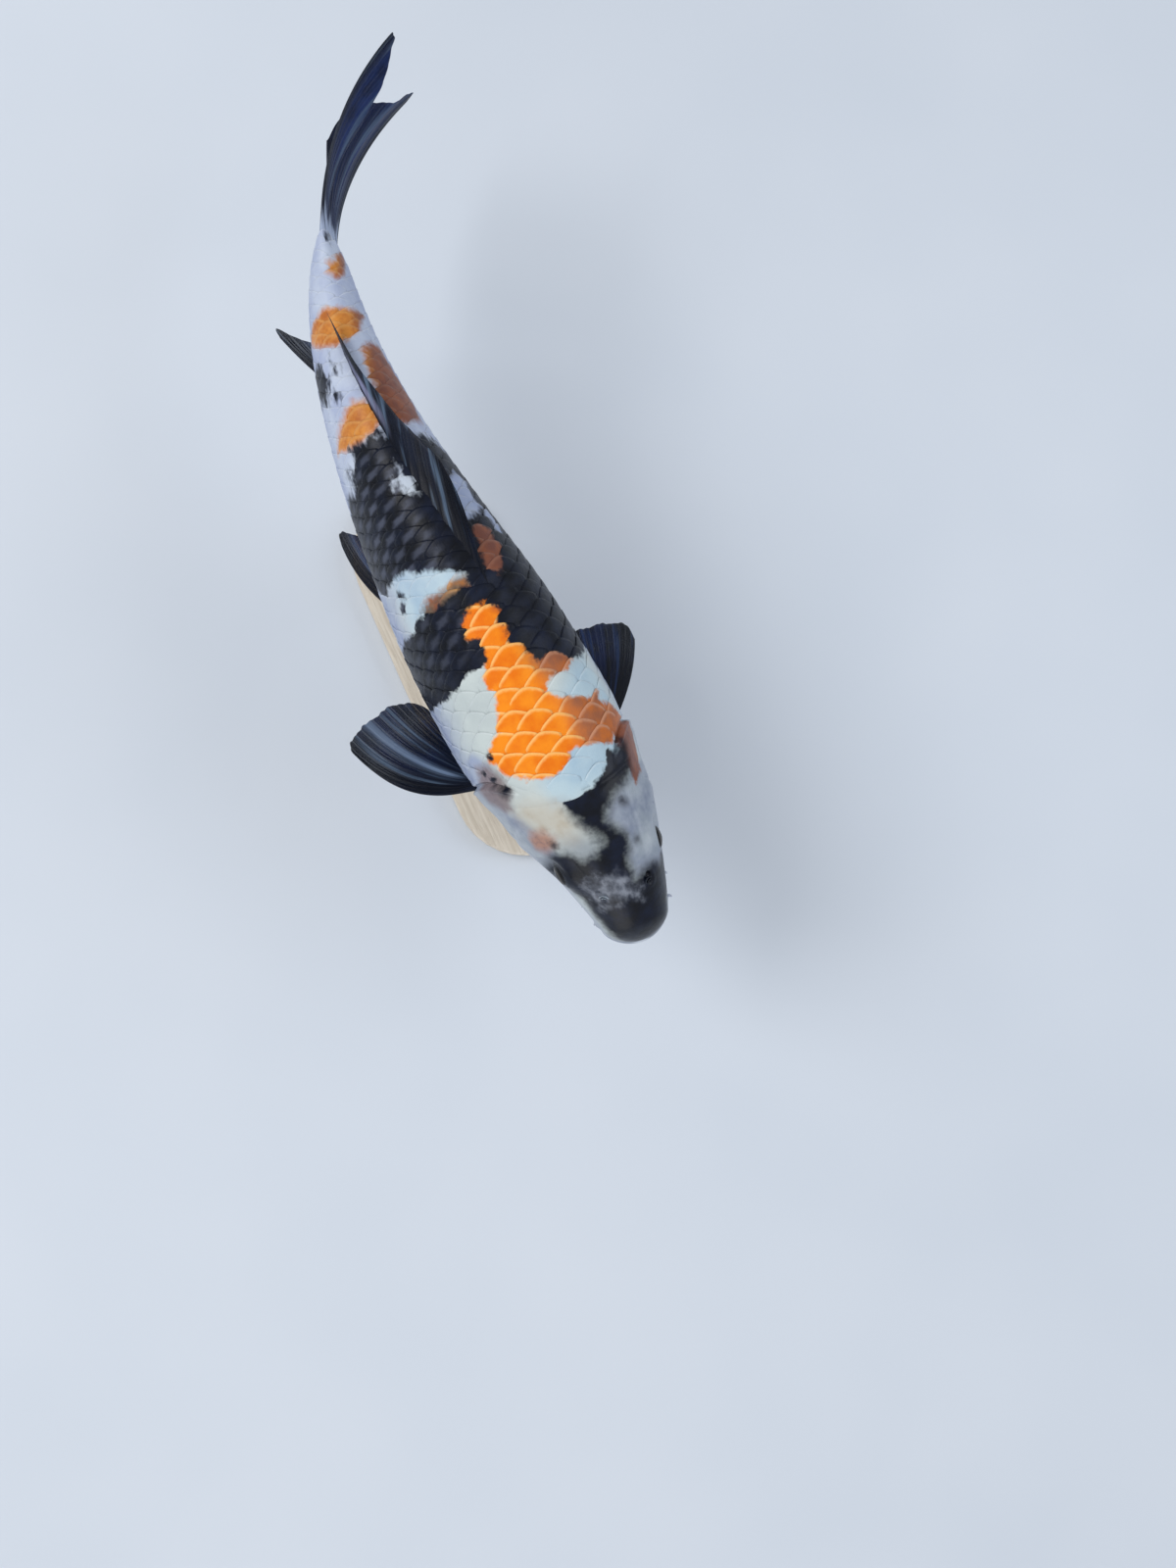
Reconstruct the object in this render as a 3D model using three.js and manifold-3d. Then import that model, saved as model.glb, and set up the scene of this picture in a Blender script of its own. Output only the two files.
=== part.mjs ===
// A Showa koi carp, life size and caught mid-swim, as a museum model on its display stand.
// Millimetres, +Z up. The head faces -Y, the tail fin +Y, and the fish's left side is +X.
// The origin is the centre of the stand base's underside.
//
// The body is one surface given in body coordinates: "at" is the distance along the spine from
// the snout, and "angle" runs round the section from 0 at the back, over 90 degrees on the left
// flank, to 180 at the belly. The head, the lengths of trunk and the tail stalk are stretches of
// that surface, and every fin, eye, lip and barbel is placed on it.
import * as THREE from "three";
import { mergeVertices } from "three/addons/utils/BufferGeometryUtils.js";
import Module from "manifold-3d";

const wasm = await Module();
wasm.setup();

// ---------------------------------------------------------------- driving dimensions

const STANDARD_LENGTH = 297; // snout to the root of the tail fin, along the spine
const SNOUT = new THREE.Vector2(9.2, -128.5); // the snout in plan
const AXIS_HEIGHT = 110; // the spine above the floor
const SNOUT_ROUND = 8; // length over which the snout rounds off
const GAP = 0.3; // clearance that touching pieces keep
const AROUND = 24; // facets round the body

// Direction of the spine in plan, going towards the tail: degrees from +Y towards +X.
const HEADING = curve([[0, 6.4], [50, -5.9], [110, -6.2], [180, -4], [240, 4.8], [297, 21.9]]);
// Turn of the section against the spine: the head looks a little to the fish's left.
const SKEW = curve([[0, -1], [22, 2], [36, 6.6], [60, 7], [80, 4.8], [110, 1], [150, 0], [297, 0]]);
// Roll of the section about the spine: the back leans left at the dorsal fin and right at the tail.
const ROLL = curve([[0, -3], [60, -2], [135, 7], [180, 2], [215, -1], [250, -4], [297, -6]]);

// The body's outline from above and from the side. Heights are measured from the spine.
const HALF_WIDTH = curve([
  [0, 10.5], [8, 13.4], [30, 20], [60, 29], [92, 32], [125, 30.4], [175, 24.7], [225, 17.3], [248, 13.8],
  [272, 9.8], [297, 4.2],
]);
const BACK = curve([
  [0, 1.5], [8, 7.5], [24, 18], [45, 27.2], [60, 32], [85, 38], [125, 42.4], [150, 43], [175, 40.6],
  [225, 30.6], [265, 21], [297, 17.6],
]);
const BELLY = curve([
  [0, -17], [8, -19.5], [24, -25], [60, -34.4], [100, -40.3], [125, -41], [160, -38.8], [200, -32],
  [240, -22.3], [270, -17.6], [297, -17.2],
]);
const WIDEST = curve([[0, -7.5], [20, -6], [45, -2.5], [80, 0], [297, 0]]); // height of the widest line
const FULLNESS_ABOVE = curve([[0, 2.1], [35, 2.5], [80, 2.15], [297, 2]]); // 2 is an ellipse
const FULLNESS_BELOW = curve([[0, 2.1], [35, 2], [110, 2.2], [297, 2]]);

// Where the body is parted.
const TRUNK_PART = 150;
const TAIL_PART = 225;
const NAPE = 56; // where the head ends on the back
const GILL_REACH = 24; // how much further back it ends on the flank

const EYE = { at: 36, height: 9.5, radius: 5.8, sunk: 3.7 };
const GILL_COVER = { at: 64, angle: 100, forward: 16, back: 13, tall: 50, proud: 1.1, deep: 2.4 };
// The mouth's slit: its heights in front and at the corner, and how far back it runs.
const MOUTH = { front: -12.4, corner: -17, length: 17, tip: 1.6 };
const LIP_RADIUS = 1.7;

const STAND = { length: 170, width: 62, height: 9, rodRadius: 2.75, rodsAt: [98, 178], socket: 6 };

// ---------------------------------------------------------------- small tools

const radians = THREE.MathUtils.degToRad;
const mix = THREE.MathUtils.lerp;
const { clamp } = THREE.MathUtils;

// A smooth curve through [position, value] pairs that doesn't overshoot them.
function curve(keys) {
  const slope = keys.slice(1).map((key, i) => (key[1] - keys[i][1]) / (key[0] - keys[i][0]));
  const tangent = keys.map((_, i) => {
    const before = slope[Math.max(i - 1, 0)];
    const after = slope[Math.min(i, slope.length - 1)];
    return before * after <= 0 ? 0 : (2 * before * after) / (before + after);
  });
  return (x) => {
    let i = 0;
    while (i < keys.length - 2 && x > keys[i + 1][0]) i += 1;
    const width = keys[i + 1][0] - keys[i][0];
    const f = Math.min(Math.max((x - keys[i][0]) / width, 0), 1);
    const rest = 1 - f;
    return (
      keys[i][1] * rest * rest * (1 + 2 * f) +
      keys[i + 1][1] * f * f * (3 - 2 * f) +
      width * f * rest * (tangent[i] * rest - tangent[i + 1] * f)
    );
  };
}

// Sign-keeping power, for superelliptic sections.
const bend = (value, power) => Math.sign(value) * Math.abs(value) ** power;

// A closed geometry as a manifold solid, its faces turned outwards.
function solid(geometry) {
  const bare = geometry.clone();
  bare.deleteAttribute("normal");
  bare.deleteAttribute("uv");
  const merged = mergeVertices(bare, 1e-3);
  const build = (triVerts) =>
    new wasm.Manifold(
      new wasm.Mesh({ numProp: 3, vertProperties: merged.attributes.position.array, triVerts }),
    );
  const corners = new Uint32Array(merged.index.array);
  const made = build(corners);
  return made.volume() > 0 ? made : build(corners.map((_, i) => corners[i - (i % 3) + 2 - (i % 3)]));
}

// A manifold solid as a geometry.
function geometryOf(made) {
  const mesh = made.getMesh();
  const geometry = new THREE.BufferGeometry();
  geometry.setAttribute("position", new THREE.BufferAttribute(new Float32Array(mesh.vertProperties), 3));
  geometry.setIndex(new THREE.BufferAttribute(mesh.triVerts, 1));
  geometry.computeVertexNormals();
  return geometry;
}

// Moves every vertex of a geometry to place(x, y, z).
function reshape(geometry, place) {
  const position = geometry.attributes.position;
  for (let i = 0; i < position.count; i += 1) {
    const p = place(position.getX(i), position.getY(i), position.getZ(i));
    position.setXYZ(i, p.x, p.y, p.z);
  }
  return geometry;
}

// A capped tube: place(along, angle, reach) with along from 0 to 1, and reach 1 on the wall and 0
// in the middle of each cap.
function tube(rings, around, place) {
  return reshape(new THREE.CylinderGeometry(1, 1, 1, around, rings), (x, y, z) =>
    place(y + 0.5, Math.atan2(x, z), Math.min(Math.hypot(x, z), 1)),
  );
}

// ---------------------------------------------------------------- body coordinates

// The spine in plan, one point a millimetre.
const spine = [SNOUT.clone()];
for (let at = 0; at < STANDARD_LENGTH; at += 1) {
  const heading = radians(HEADING(at + 0.5));
  spine.push(spine[at].clone().add(new THREE.Vector2(Math.sin(heading), Math.cos(heading))));
}

// The spine's point and the directions to the tail, the left flank and the back there.
function frameAt(at) {
  const i = clamp(Math.floor(at), 0, STANDARD_LENGTH - 1);
  const heading = radians(HEADING(at) + SKEW(at));
  const roll = radians(ROLL(at));
  const level = new THREE.Vector3(Math.cos(heading), -Math.sin(heading), 0);
  const plumb = new THREE.Vector3(0, 0, 1);
  const x = mix(spine[i].x, spine[i + 1].x, at - i);
  const y = mix(spine[i].y, spine[i + 1].y, at - i);
  return {
    origin: new THREE.Vector3(x, y, AXIS_HEIGHT),
    tail: new THREE.Vector3(Math.sin(heading), Math.cos(heading), 0),
    side: level.clone().multiplyScalar(Math.cos(roll)).addScaledVector(plumb, -Math.sin(roll)),
    up: plumb.clone().multiplyScalar(Math.cos(roll)).addScaledVector(level, Math.sin(roll)),
  };
}

// A point beside the spine.
function beside(at, side, up) {
  const frame = frameAt(at);
  return frame.origin.addScaledVector(frame.side, side).addScaledVector(frame.up, up);
}

// A direction given in the body's own terms: towards the tail, the left and the back.
function towards(at, tail, side, up) {
  const frame = frameAt(at);
  return frame.tail.multiplyScalar(tail).addScaledVector(frame.side, side).addScaledVector(frame.up, up);
}

// A point on the body, or with grow that much outside it; reach 0 is the section's middle.
function onBody(at, angle, grow = 0, reach = 1) {
  const rounding = clamp((at + grow) / (SNOUT_ROUND + grow), 0, 1);
  const size = Math.sqrt(1 - (1 - rounding) ** 2);
  const middle = WIDEST(at);
  const across = Math.sin(angle);
  const upright = Math.cos(angle);
  const above = upright > 0;
  const power = 2 / (above ? FULLNESS_ABOVE(at) : FULLNESS_BELOW(at));
  const height = above ? BACK(at) - middle : middle - BELLY(at);
  const side = (HALF_WIDTH(at) * size + grow * Math.min(1, size * 4)) * bend(across, power);
  const up = (height * size + grow * Math.min(1, size * 4)) * bend(upright, power);
  return beside(at, side * reach, middle + up * reach);
}

// The angle at which the body's lower flank has a given height.
function angleAtHeight(at, height) {
  let low = Math.PI / 2;
  let high = Math.PI;
  for (let i = 0; i < 24; i += 1) {
    const middle = (low + high) / 2;
    const power = 2 / FULLNESS_BELOW(at);
    const up = WIDEST(at) + (WIDEST(at) - BELLY(at)) * bend(Math.cos(middle), power);
    [low, high] = up > height ? [middle, high] : [low, middle];
  }
  return low;
}

// ---------------------------------------------------------------- body pieces

// How far back the head reaches at an angle: along the rear edge of the gill covers.
const gillLine = (angle) => NAPE + GILL_REACH * (1 - Math.cos(angle) ** 4);

// A stretch of the body between two lines round it, each a function of the angle.
function bodyLength(rings, from, to, { grow = 0, spread = 1 } = {}) {
  return tube(rings, AROUND, (along, angle, reach) =>
    onBody(mix(from(angle), to(angle), along ** spread), angle, grow, reach),
  );
}

const SNOUT_START = 0.03; // the snout's tip is a facet this far along
const wholeBodyGrown = solid(
  bodyLength(28, () => SNOUT_START - GAP, () => STANDARD_LENGTH + GAP, { grow: GAP, spread: 1.5 }),
);

function eyeSolid(side, grow = 0) {
  const halfWidth = HALF_WIDTH(EYE.at);
  const centre = beside(EYE.at, side * (halfWidth - EYE.sunk), EYE.height);
  const ball = new THREE.SphereGeometry(EYE.radius + grow, 14, 9);
  return solid(ball.translate(centre.x, centre.y, centre.z));
}

// A gill cover: a lens over the side of the head, a little proud of it.
function gillCoverSolid(side, grow = 0) {
  const { at, angle, forward, back, tall, proud, deep } = GILL_COVER;
  return solid(
    reshape(new THREE.SphereGeometry(1, 16, 8), (x, y, z) => {
      const reach = (x < 0 ? forward : back) + grow;
      const spot = radians(angle + y * (tall + grow * 2));
      const lift = bend(z, 0.6) * ((z > 0 ? proud : deep) + grow);
      return onBody(at + x * reach, side * spot, lift);
    }),
  );
}

// The space of the lower jaw: everything in front of the mouth's corner and below its slit.
function jawSpace(grow = 0) {
  const front = SNOUT.y - 5;
  const corner = SNOUT.y + MOUTH.length;
  const side = new THREE.Shape([
    new THREE.Vector2(front, MOUTH.front + 1 + grow),
    new THREE.Vector2(corner + grow, MOUTH.corner + grow),
    new THREE.Vector2(corner + 9 + grow, -45),
    new THREE.Vector2(front, -45),
  ]);
  const block = new THREE.ExtrudeGeometry(side, { depth: 60, bevelEnabled: false });
  return solid(reshape(block, (x, y, z) => new THREE.Vector3(z - 25, x, AXIS_HEIGHT + y)));
}

// A lip: a tapered tube laid along the mouth's slit, offset to one side of it.
function lipSolid(offset, grow = 0) {
  const points = [];
  const steps = 8;
  for (let i = -steps; i <= steps; i += 1) {
    const round = Math.abs(i / steps) * (Math.PI / 2);
    const at = MOUTH.length - (MOUTH.length - MOUTH.tip) * Math.cos(round) ** 0.8;
    const height = mix(MOUTH.front, MOUTH.corner, at / MOUTH.length) + offset;
    const onFlank = onBody(at, Math.sign(i) * angleAtHeight(at, height));
    points.push(i === 0 ? beside(MOUTH.tip / 2, 0, MOUTH.front + offset) : onFlank);
  }
  return taperedTube(new THREE.CatmullRomCurve3(points), 16, 6, (along) =>
    LIP_RADIUS * (0.35 + 0.65 * Math.sin(Math.PI * along) ** 0.7) + grow,
  );
}

// A capped tube of changing radius along a curve.
function taperedTube(path, rings, around, radius) {
  const frames = path.computeFrenetFrames(rings, false);
  return solid(
    tube(rings, around, (along, angle, reach) => {
      const i = Math.round(along * rings);
      return path
        .getPoint(along)
        .addScaledVector(frames.normals[i], Math.cos(angle) * radius(along) * reach)
        .addScaledVector(frames.binormals[i], Math.sin(angle) * radius(along) * reach);
    }),
  );
}

// A barbel that leaves the upper jaw at a place on the body and hangs outwards.
function barbelSolid(side, { at, height, tail, out, down, radius }) {
  const root = onBody(at, side * angleAtHeight(at, height), -1);
  const reach = towards(at, tail, side * out, 0);
  const path = new THREE.QuadraticBezierCurve3(
    root,
    root.clone().addScaledVector(reach, 0.6),
    root.clone().add(reach).add(new THREE.Vector3(0, 0, -down)),
  );
  return taperedTube(path, 6, 7, (along) => mix(radius, 0.35, along));
}

// ---------------------------------------------------------------- fins

// A fin: a plate whose rays run from their roots out to the edge. ray(t) gives the root, the
// directions in which the ray leaves it and ends, and its length, for t from 0 to 1 across the
// fin. The rays stand out as ridges.
function finSolid({ rays, rows, ray, thick = 1.5, edge = 0.6, ridge = 0.5 }) {
  const middle = (t, r) => {
    const { root, leaves, ends, length } = ray(t);
    return root
      .clone()
      .addScaledVector(leaves, length * (r - (r * r) / 2))
      .addScaledVector(ends, (length * r * r) / 2);
  };
  const step = 1e-3;
  return solid(
    reshape(new THREE.BoxGeometry(1, 1, 1, rays * 2, rows, 1), (x, y, z) => {
      const t = x + 0.5;
      const r = y + 0.5;
      const across = middle(t + step, r).sub(middle(t - step, r));
      const along = middle(t, r + step).sub(middle(t, r - step));
      const normal = across.cross(along).normalize();
      const swell = ridge * (0.5 - 0.5 * Math.cos(2 * Math.PI * rays * t)) * (1 - 0.6 * r);
      return middle(t, r).addScaledVector(normal, z * (mix(thick, edge, r) + swell));
    }),
  );
}

const finOnBody = (options) => finSolid(options).subtract(wholeBodyGrown);

// The folded dorsal fin: it leans to the left in front and to the right behind.
const DORSAL = { at: 141, base: 103, sunk: 2.5 };
const DORSAL_LENGTH = curve([[0, 40], [0.05, 43], [0.2, 39], [0.35, 31], [0.6, 22], [1, 18]]);
const DORSAL_RAISE = curve([[0, 13], [0.3, 20], [0.6, 25], [1, 27]]);
const DORSAL_LEAN = curve([[0, 45], [0.35, 45], [0.7, 15], [1, -20]]);
function dorsalRay(t) {
  const at = DORSAL.at + DORSAL.base * t;
  const raise = radians(DORSAL_RAISE(t));
  const lean = radians(DORSAL_LEAN(t));
  const slope = (BACK(at + 20) - BACK(at)) / 20;
  const direction = towards(
    at + 12,
    Math.cos(raise),
    Math.sin(raise) * Math.sin(lean),
    Math.sin(raise) * Math.cos(lean) + slope * Math.cos(raise),
  );
  return {
    root: beside(at, 0, BACK(at) - DORSAL.sunk),
    leaves: direction,
    ends: direction,
    length: DORSAL_LENGTH(t) + DORSAL.sunk,
  };
}

// The anal fin trails and leans to the right.
const ANAL = { at: 234, base: 16, sunk: 2.5 };
const ANAL_LENGTH = curve([[0, 47], [0.12, 50], [0.5, 39], [1, 26]]);
function analRay(t) {
  const at = ANAL.at + ANAL.base * t;
  return {
    root: beside(at, 0, BELLY(at) + ANAL.sunk),
    leaves: towards(at, mix(0.78, 0.8, t), mix(-0.55, -0.5, t), -0.31).normalize(),
    ends: towards(at, mix(0.9, 0.8, t), mix(-0.34, -0.25, t), mix(-0.2, -0.55, t)).normalize(),
    length: ANAL_LENGTH(t) + ANAL.sunk,
  };
}

// The tail fin is forked. Its lobes sweep to the left while its middle rays lag behind.
const CAUDAL = { at: 296, base: 16.6, leaves: 14, ends: 8 };
// By |t|: how far a ray's end is turned to the left, and its length.
const CAUDAL_SWEEP = curve([[0, 2], [0.3, 38], [0.6, 48], [0.85, 48], [1, 44]]);
const CAUDAL_LENGTH = curve([[0, 44], [0.3, 46], [0.6, 68], [0.92, 86], [1, 82]]);
function caudalRay(t) {
  const far = Math.abs(t);
  const frame = frameAt(STANDARD_LENGTH);
  const aim = (turn, raise) =>
    frame.tail
      .clone()
      .multiplyScalar(Math.cos(radians(turn)))
      .addScaledVector(frame.side, Math.sin(radians(turn)))
      .multiplyScalar(Math.cos(radians(raise * t)))
      .addScaledVector(frame.up, Math.sin(radians(raise * t)));
  return {
    root: beside(CAUDAL.at - 5 * t * t, 0, CAUDAL.base * t),
    leaves: aim(0, CAUDAL.leaves),
    ends: aim(CAUDAL_SWEEP(far), CAUDAL.ends),
    length: CAUDAL_LENGTH(far),
  };
}

// Paired fins. Each side has its own set of the fin, in the terms of towards().
function pairedRay(side, { at, base, out, height, first, last, lengths }) {
  const lengthOf = curve(lengths);
  return (t) => {
    const blend = (start, end) => start.map((value, i) => mix(value, end[i], t));
    const toWorld = ([tail, outward, up]) => towards(at, tail, side * outward, up).normalize();
    return {
      root: beside(at + base[0] * t, side * (out + base[1] * t), height + base[2] * t),
      leaves: toWorld(blend(first.leaves, last.leaves)),
      ends: toWorld(blend(first.ends, last.ends)),
      length: lengthOf(t),
    };
  };
}

const PECTORAL = {
  at: 80, base: [5, -4, -11], out: 28, height: -13,
  lengths: [[0, 58], [0.12, 62], [0.5, 52], [0.8, 44], [1, 35]],
};
const PECTORAL_SET = {
  right: {
    first: { leaves: [0.08, 0.99, -0.05], ends: [0.97, 0.33, -0.12] },
    last: { leaves: [0.96, 0.25, -0.1], ends: [0.93, 0.26, -0.24] },
  },
  left: {
    first: { leaves: [0.45, 0.66, -0.6], ends: [0.57, 0.34, -0.72] },
    last: { leaves: [0.9, 0.1, -0.42], ends: [0.9, 0.1, -0.42] },
  },
};
const PELVIC = {
  at: 153, base: [6, -7, 0], out: 15, height: -34,
  lengths: [[0, 49], [0.15, 52], [0.5, 44], [1, 30]],
  first: { leaves: [0.8, 0.46, -0.39], ends: [0.96, -0.16, -0.24] },
  last: { leaves: [0.95, 0.1, -0.35], ends: [0.97, 0, -0.25] },
};

// ---------------------------------------------------------------- the stand

const ROD_FACETS = 14;
const BASE_BEVEL = 1;
const ROD_TOP = AXIS_HEIGHT - 20; // inside the belly, which cuts the rod to length

function standBaseSolid() {
  const { length, width, height, rodRadius, socket } = STAND;
  const round = width / 2 - BASE_BEVEL;
  const straight = (length - width) / 2;
  const outline = new THREE.Shape();
  outline.absarc(0, straight, round, 0, Math.PI, false);
  outline.absarc(0, -straight, round, Math.PI, 2 * Math.PI, false);
  outline.closePath();
  const slab = new THREE.ExtrudeGeometry(outline, {
    depth: height - 2 * BASE_BEVEL,
    bevelSize: BASE_BEVEL,
    bevelThickness: BASE_BEVEL,
    bevelSegments: 1,
    curveSegments: 8,
  });
  let base = solid(slab.translate(0, 0, BASE_BEVEL));
  for (const at of STAND.rodsAt) {
    const { x, y } = frameAt(at).origin;
    const drill = new THREE.CylinderGeometry(rodRadius + GAP, rodRadius + GAP, socket * 2, ROD_FACETS);
    base = base.subtract(solid(drill.rotateX(Math.PI / 2).translate(x, y, height)));
  }
  return base;
}

function standRodSolid(at) {
  const { x, y } = frameAt(at).origin;
  const foot = STAND.height - STAND.socket + GAP;
  const length = ROD_TOP - foot;
  const rod = new THREE.CylinderGeometry(STAND.rodRadius, STAND.rodRadius, length, ROD_FACETS);
  return solid(rod.rotateX(Math.PI / 2).translate(x, y, foot + length / 2)).subtract(wholeBodyGrown);
}

// A collar round the foot of each rod, resting on the base.
function standCollarSolid(at) {
  const { x, y } = frameAt(at).origin;
  const inner = STAND.rodRadius + GAP;
  const foot = STAND.height + GAP;
  const profile = [[inner, 0], [7, 0], [7, 1.6], [5.4, 4.2], [inner, 4.2], [inner, 0]];
  const ring = new THREE.LatheGeometry(profile.map(([r, z]) => new THREE.Vector2(r, z)), ROD_FACETS);
  return solid(ring.rotateX(Math.PI / 2).translate(x, y, foot));
}

// ---------------------------------------------------------------- materials and assembly

const MATERIAL = {
  skin: new THREE.MeshStandardMaterial({ color: 0xd9dad6, roughness: 0.35, metalness: 0 }),
  hi: new THREE.MeshStandardMaterial({ color: 0xf07c12, roughness: 0.35, metalness: 0 }),
  sumi: new THREE.MeshStandardMaterial({ color: 0x1b1f29, roughness: 0.35, metalness: 0 }),
  fin: new THREE.MeshStandardMaterial({ color: 0x2b3342, roughness: 0.4, metalness: 0 }),
  eye: new THREE.MeshStandardMaterial({ color: 0x14120f, roughness: 0.1, metalness: 0 }),
  base: new THREE.MeshStandardMaterial({ color: 0xc9ccd0, roughness: 0.5, metalness: 0 }),
  steel: new THREE.MeshStandardMaterial({ color: 0xb9bcc0, roughness: 0.3, metalness: 1 }),
};

const koi = new THREE.Group();

function add(name, made, material) {
  const mesh = new THREE.Mesh(geometryOf(made), material);
  mesh.name = name;
  koi.add(mesh);
}

const SIDES = { left: 1, right: -1 };

// Head, with its eyes, gill covers, mouth and barbels let into it.
const wholeHead = solid(bodyLength(11, () => SNOUT_START, gillLine, { spread: 1.6 }));
let head = wholeHead.subtract(jawSpace(GAP));
for (const [name, side] of Object.entries(SIDES)) {
  head = head.subtract(eyeSolid(side, GAP)).subtract(gillCoverSolid(side, GAP));
  add(`eye_${name}`, eyeSolid(side), MATERIAL.eye);
  add(`gill_cover_${name}`, gillCoverSolid(side), MATERIAL.skin);
}
add("head", head, MATERIAL.sumi);
add("lower_jaw", wholeHead.intersect(jawSpace()), MATERIAL.skin);

const LIP_OFFSET = LIP_RADIUS + GAP / 2;
const upperLip = lipSolid(LIP_OFFSET).subtract(wholeBodyGrown);
const lowerLip = lipSolid(-LIP_OFFSET).subtract(wholeBodyGrown).subtract(lipSolid(LIP_OFFSET, GAP));
add("upper_lip", upperLip, MATERIAL.sumi);
add("lower_lip", lowerLip, MATERIAL.skin);

const BARBELS = {
  front: { at: 11.5, height: -10, tail: -0.5, out: 5, down: 5, radius: 0.8 },
  rear: { at: 19.5, height: -15.5, tail: -1.5, out: 8, down: 8, radius: 1 },
};
for (const [pair, form] of Object.entries(BARBELS)) {
  for (const [name, side] of Object.entries(SIDES)) {
    const barbel = barbelSolid(side, form).subtract(wholeBodyGrown);
    add(`barbel_${pair}_${name}`, barbel, MATERIAL.skin);
  }
}

// Trunk and tail stalk.
const level = (at) => () => at;
const trunkFront = solid(bodyLength(8, (angle) => gillLine(angle) + GAP, level(TRUNK_PART - GAP / 2)))
  .subtract(gillCoverSolid(SIDES.left, GAP))
  .subtract(gillCoverSolid(SIDES.right, GAP));
add("trunk_front", trunkFront, MATERIAL.hi);
const trunkRear = solid(bodyLength(7, level(TRUNK_PART + GAP / 2), level(TAIL_PART - GAP / 2)));
const tailStalk = solid(bodyLength(7, level(TAIL_PART + GAP / 2), level(STANDARD_LENGTH)));
add("trunk_rear", trunkRear, MATERIAL.sumi);
add("tail_stalk", tailStalk, MATERIAL.skin);

// Fins.
add("dorsal_fin", finOnBody({ rays: 13, rows: 3, ray: dorsalRay, thick: 1.7 }), MATERIAL.fin);
add("anal_fin", finOnBody({ rays: 6, rows: 4, ray: analRay }), MATERIAL.fin);
const LOBE_START = 0.024; // half the cut between the tail fin's lobes, by t
const lobe = (sign) => (t) => caudalRay(sign * mix(LOBE_START, 1, t));
add("caudal_fin_upper", finOnBody({ rays: 8, rows: 6, ray: lobe(1), thick: 1.9 }), MATERIAL.fin);
add("caudal_fin_lower", finOnBody({ rays: 8, rows: 6, ray: lobe(-1), thick: 1.9 }), MATERIAL.fin);
for (const [name, side] of Object.entries(SIDES)) {
  const pectoral = pairedRay(side, { ...PECTORAL, ...PECTORAL_SET[name] });
  add(`pectoral_fin_${name}`, finOnBody({ rays: 11, rows: 5, ray: pectoral }), MATERIAL.fin);
  add(`pelvic_fin_${name}`, finOnBody({ rays: 6, rows: 4, ray: pairedRay(side, PELVIC) }), MATERIAL.fin);
}

// Stand.
add("stand_base", standBaseSolid(), MATERIAL.base);
["front", "rear"].forEach((name, i) => {
  add(`stand_rod_${name}`, standRodSolid(STAND.rodsAt[i]), MATERIAL.steel);
  add(`stand_collar_${name}`, standCollarSolid(STAND.rodsAt[i]), MATERIAL.steel);
});

export default koi;
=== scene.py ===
"""The looks of a life-size Showa koi carp on its display stand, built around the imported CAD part.

Lengths are millimetres, and become metres where Blender takes them. Body coordinates are the part's own:
"at" is the distance along the spine from the snout, and "angle" runs round the section from 0 at the
back, over +90 degrees on the left flank, to 180 at the belly. Markings are outlines in (at, degrees),
which the meshes keep as fields: values at their points, that the materials' nodes read.
"""

import math

import bpy
import numpy as np
from mathutils import Matrix, Vector


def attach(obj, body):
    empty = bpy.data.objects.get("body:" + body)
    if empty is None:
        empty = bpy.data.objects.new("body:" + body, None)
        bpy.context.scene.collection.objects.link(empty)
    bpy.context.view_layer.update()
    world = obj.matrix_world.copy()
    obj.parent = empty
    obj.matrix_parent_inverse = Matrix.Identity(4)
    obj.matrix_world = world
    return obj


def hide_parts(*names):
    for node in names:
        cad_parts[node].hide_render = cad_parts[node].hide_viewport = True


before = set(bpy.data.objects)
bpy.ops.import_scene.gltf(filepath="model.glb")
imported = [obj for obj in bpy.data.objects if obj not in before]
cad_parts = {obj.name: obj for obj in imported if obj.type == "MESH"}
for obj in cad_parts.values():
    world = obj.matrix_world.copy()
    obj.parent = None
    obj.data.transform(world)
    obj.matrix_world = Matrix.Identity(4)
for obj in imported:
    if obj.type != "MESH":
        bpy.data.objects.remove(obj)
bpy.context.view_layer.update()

MM = 0.001

# ---------------------------------------------------------------- small tools


def curve(keys):
    """A smooth function through (position, value) pairs that doesn't overshoot them."""
    xs, ys = np.array(keys, float).T
    slope = np.diff(ys) / np.diff(xs)
    before = np.r_[slope[0], slope]
    after = np.r_[slope, slope[-1]]
    agree = before * after > 0
    tangent = np.where(agree, 2 * before * after / np.where(agree, before + after, 1), 0)

    def value(x):
        x = np.clip(np.asarray(x, float), xs[0], xs[-1])
        i = np.clip(np.searchsorted(xs, x, side="right") - 1, 0, len(xs) - 2)
        width = xs[i + 1] - xs[i]
        f = (x - xs[i]) / width
        rest = 1 - f
        ends = ys[i] * rest**2 * (1 + 2 * f) + ys[i + 1] * f**2 * (3 - 2 * f)
        return ends + width * f * rest * (tangent[i] * rest - tangent[i + 1] * f)

    return value


def mix(a, b, f):
    return a + (b - a) * f


def smooth(x, low, high):
    """0 below low, 1 above high, and smooth between."""
    f = np.clip((x - low) / (high - low), 0, 1)
    return f * f * (3 - 2 * f)


def bump(distance, width):
    return np.exp(-((distance / width) ** 2))


def bend(value, power):
    return np.sign(value) * np.abs(value) ** power


def unit(vectors):
    return vectors / np.linalg.norm(vectors, axis=-1, keepdims=True)


def grid(rows, columns):
    """Two arrays of rows by columns: each point's row value and its column value."""
    return np.meshgrid(rows, columns, indexing="ij")


def turns(count):
    """Angles all the way round, in equal steps."""
    return np.linspace(0, 2 * math.pi, count, endpoint=False)


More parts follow.
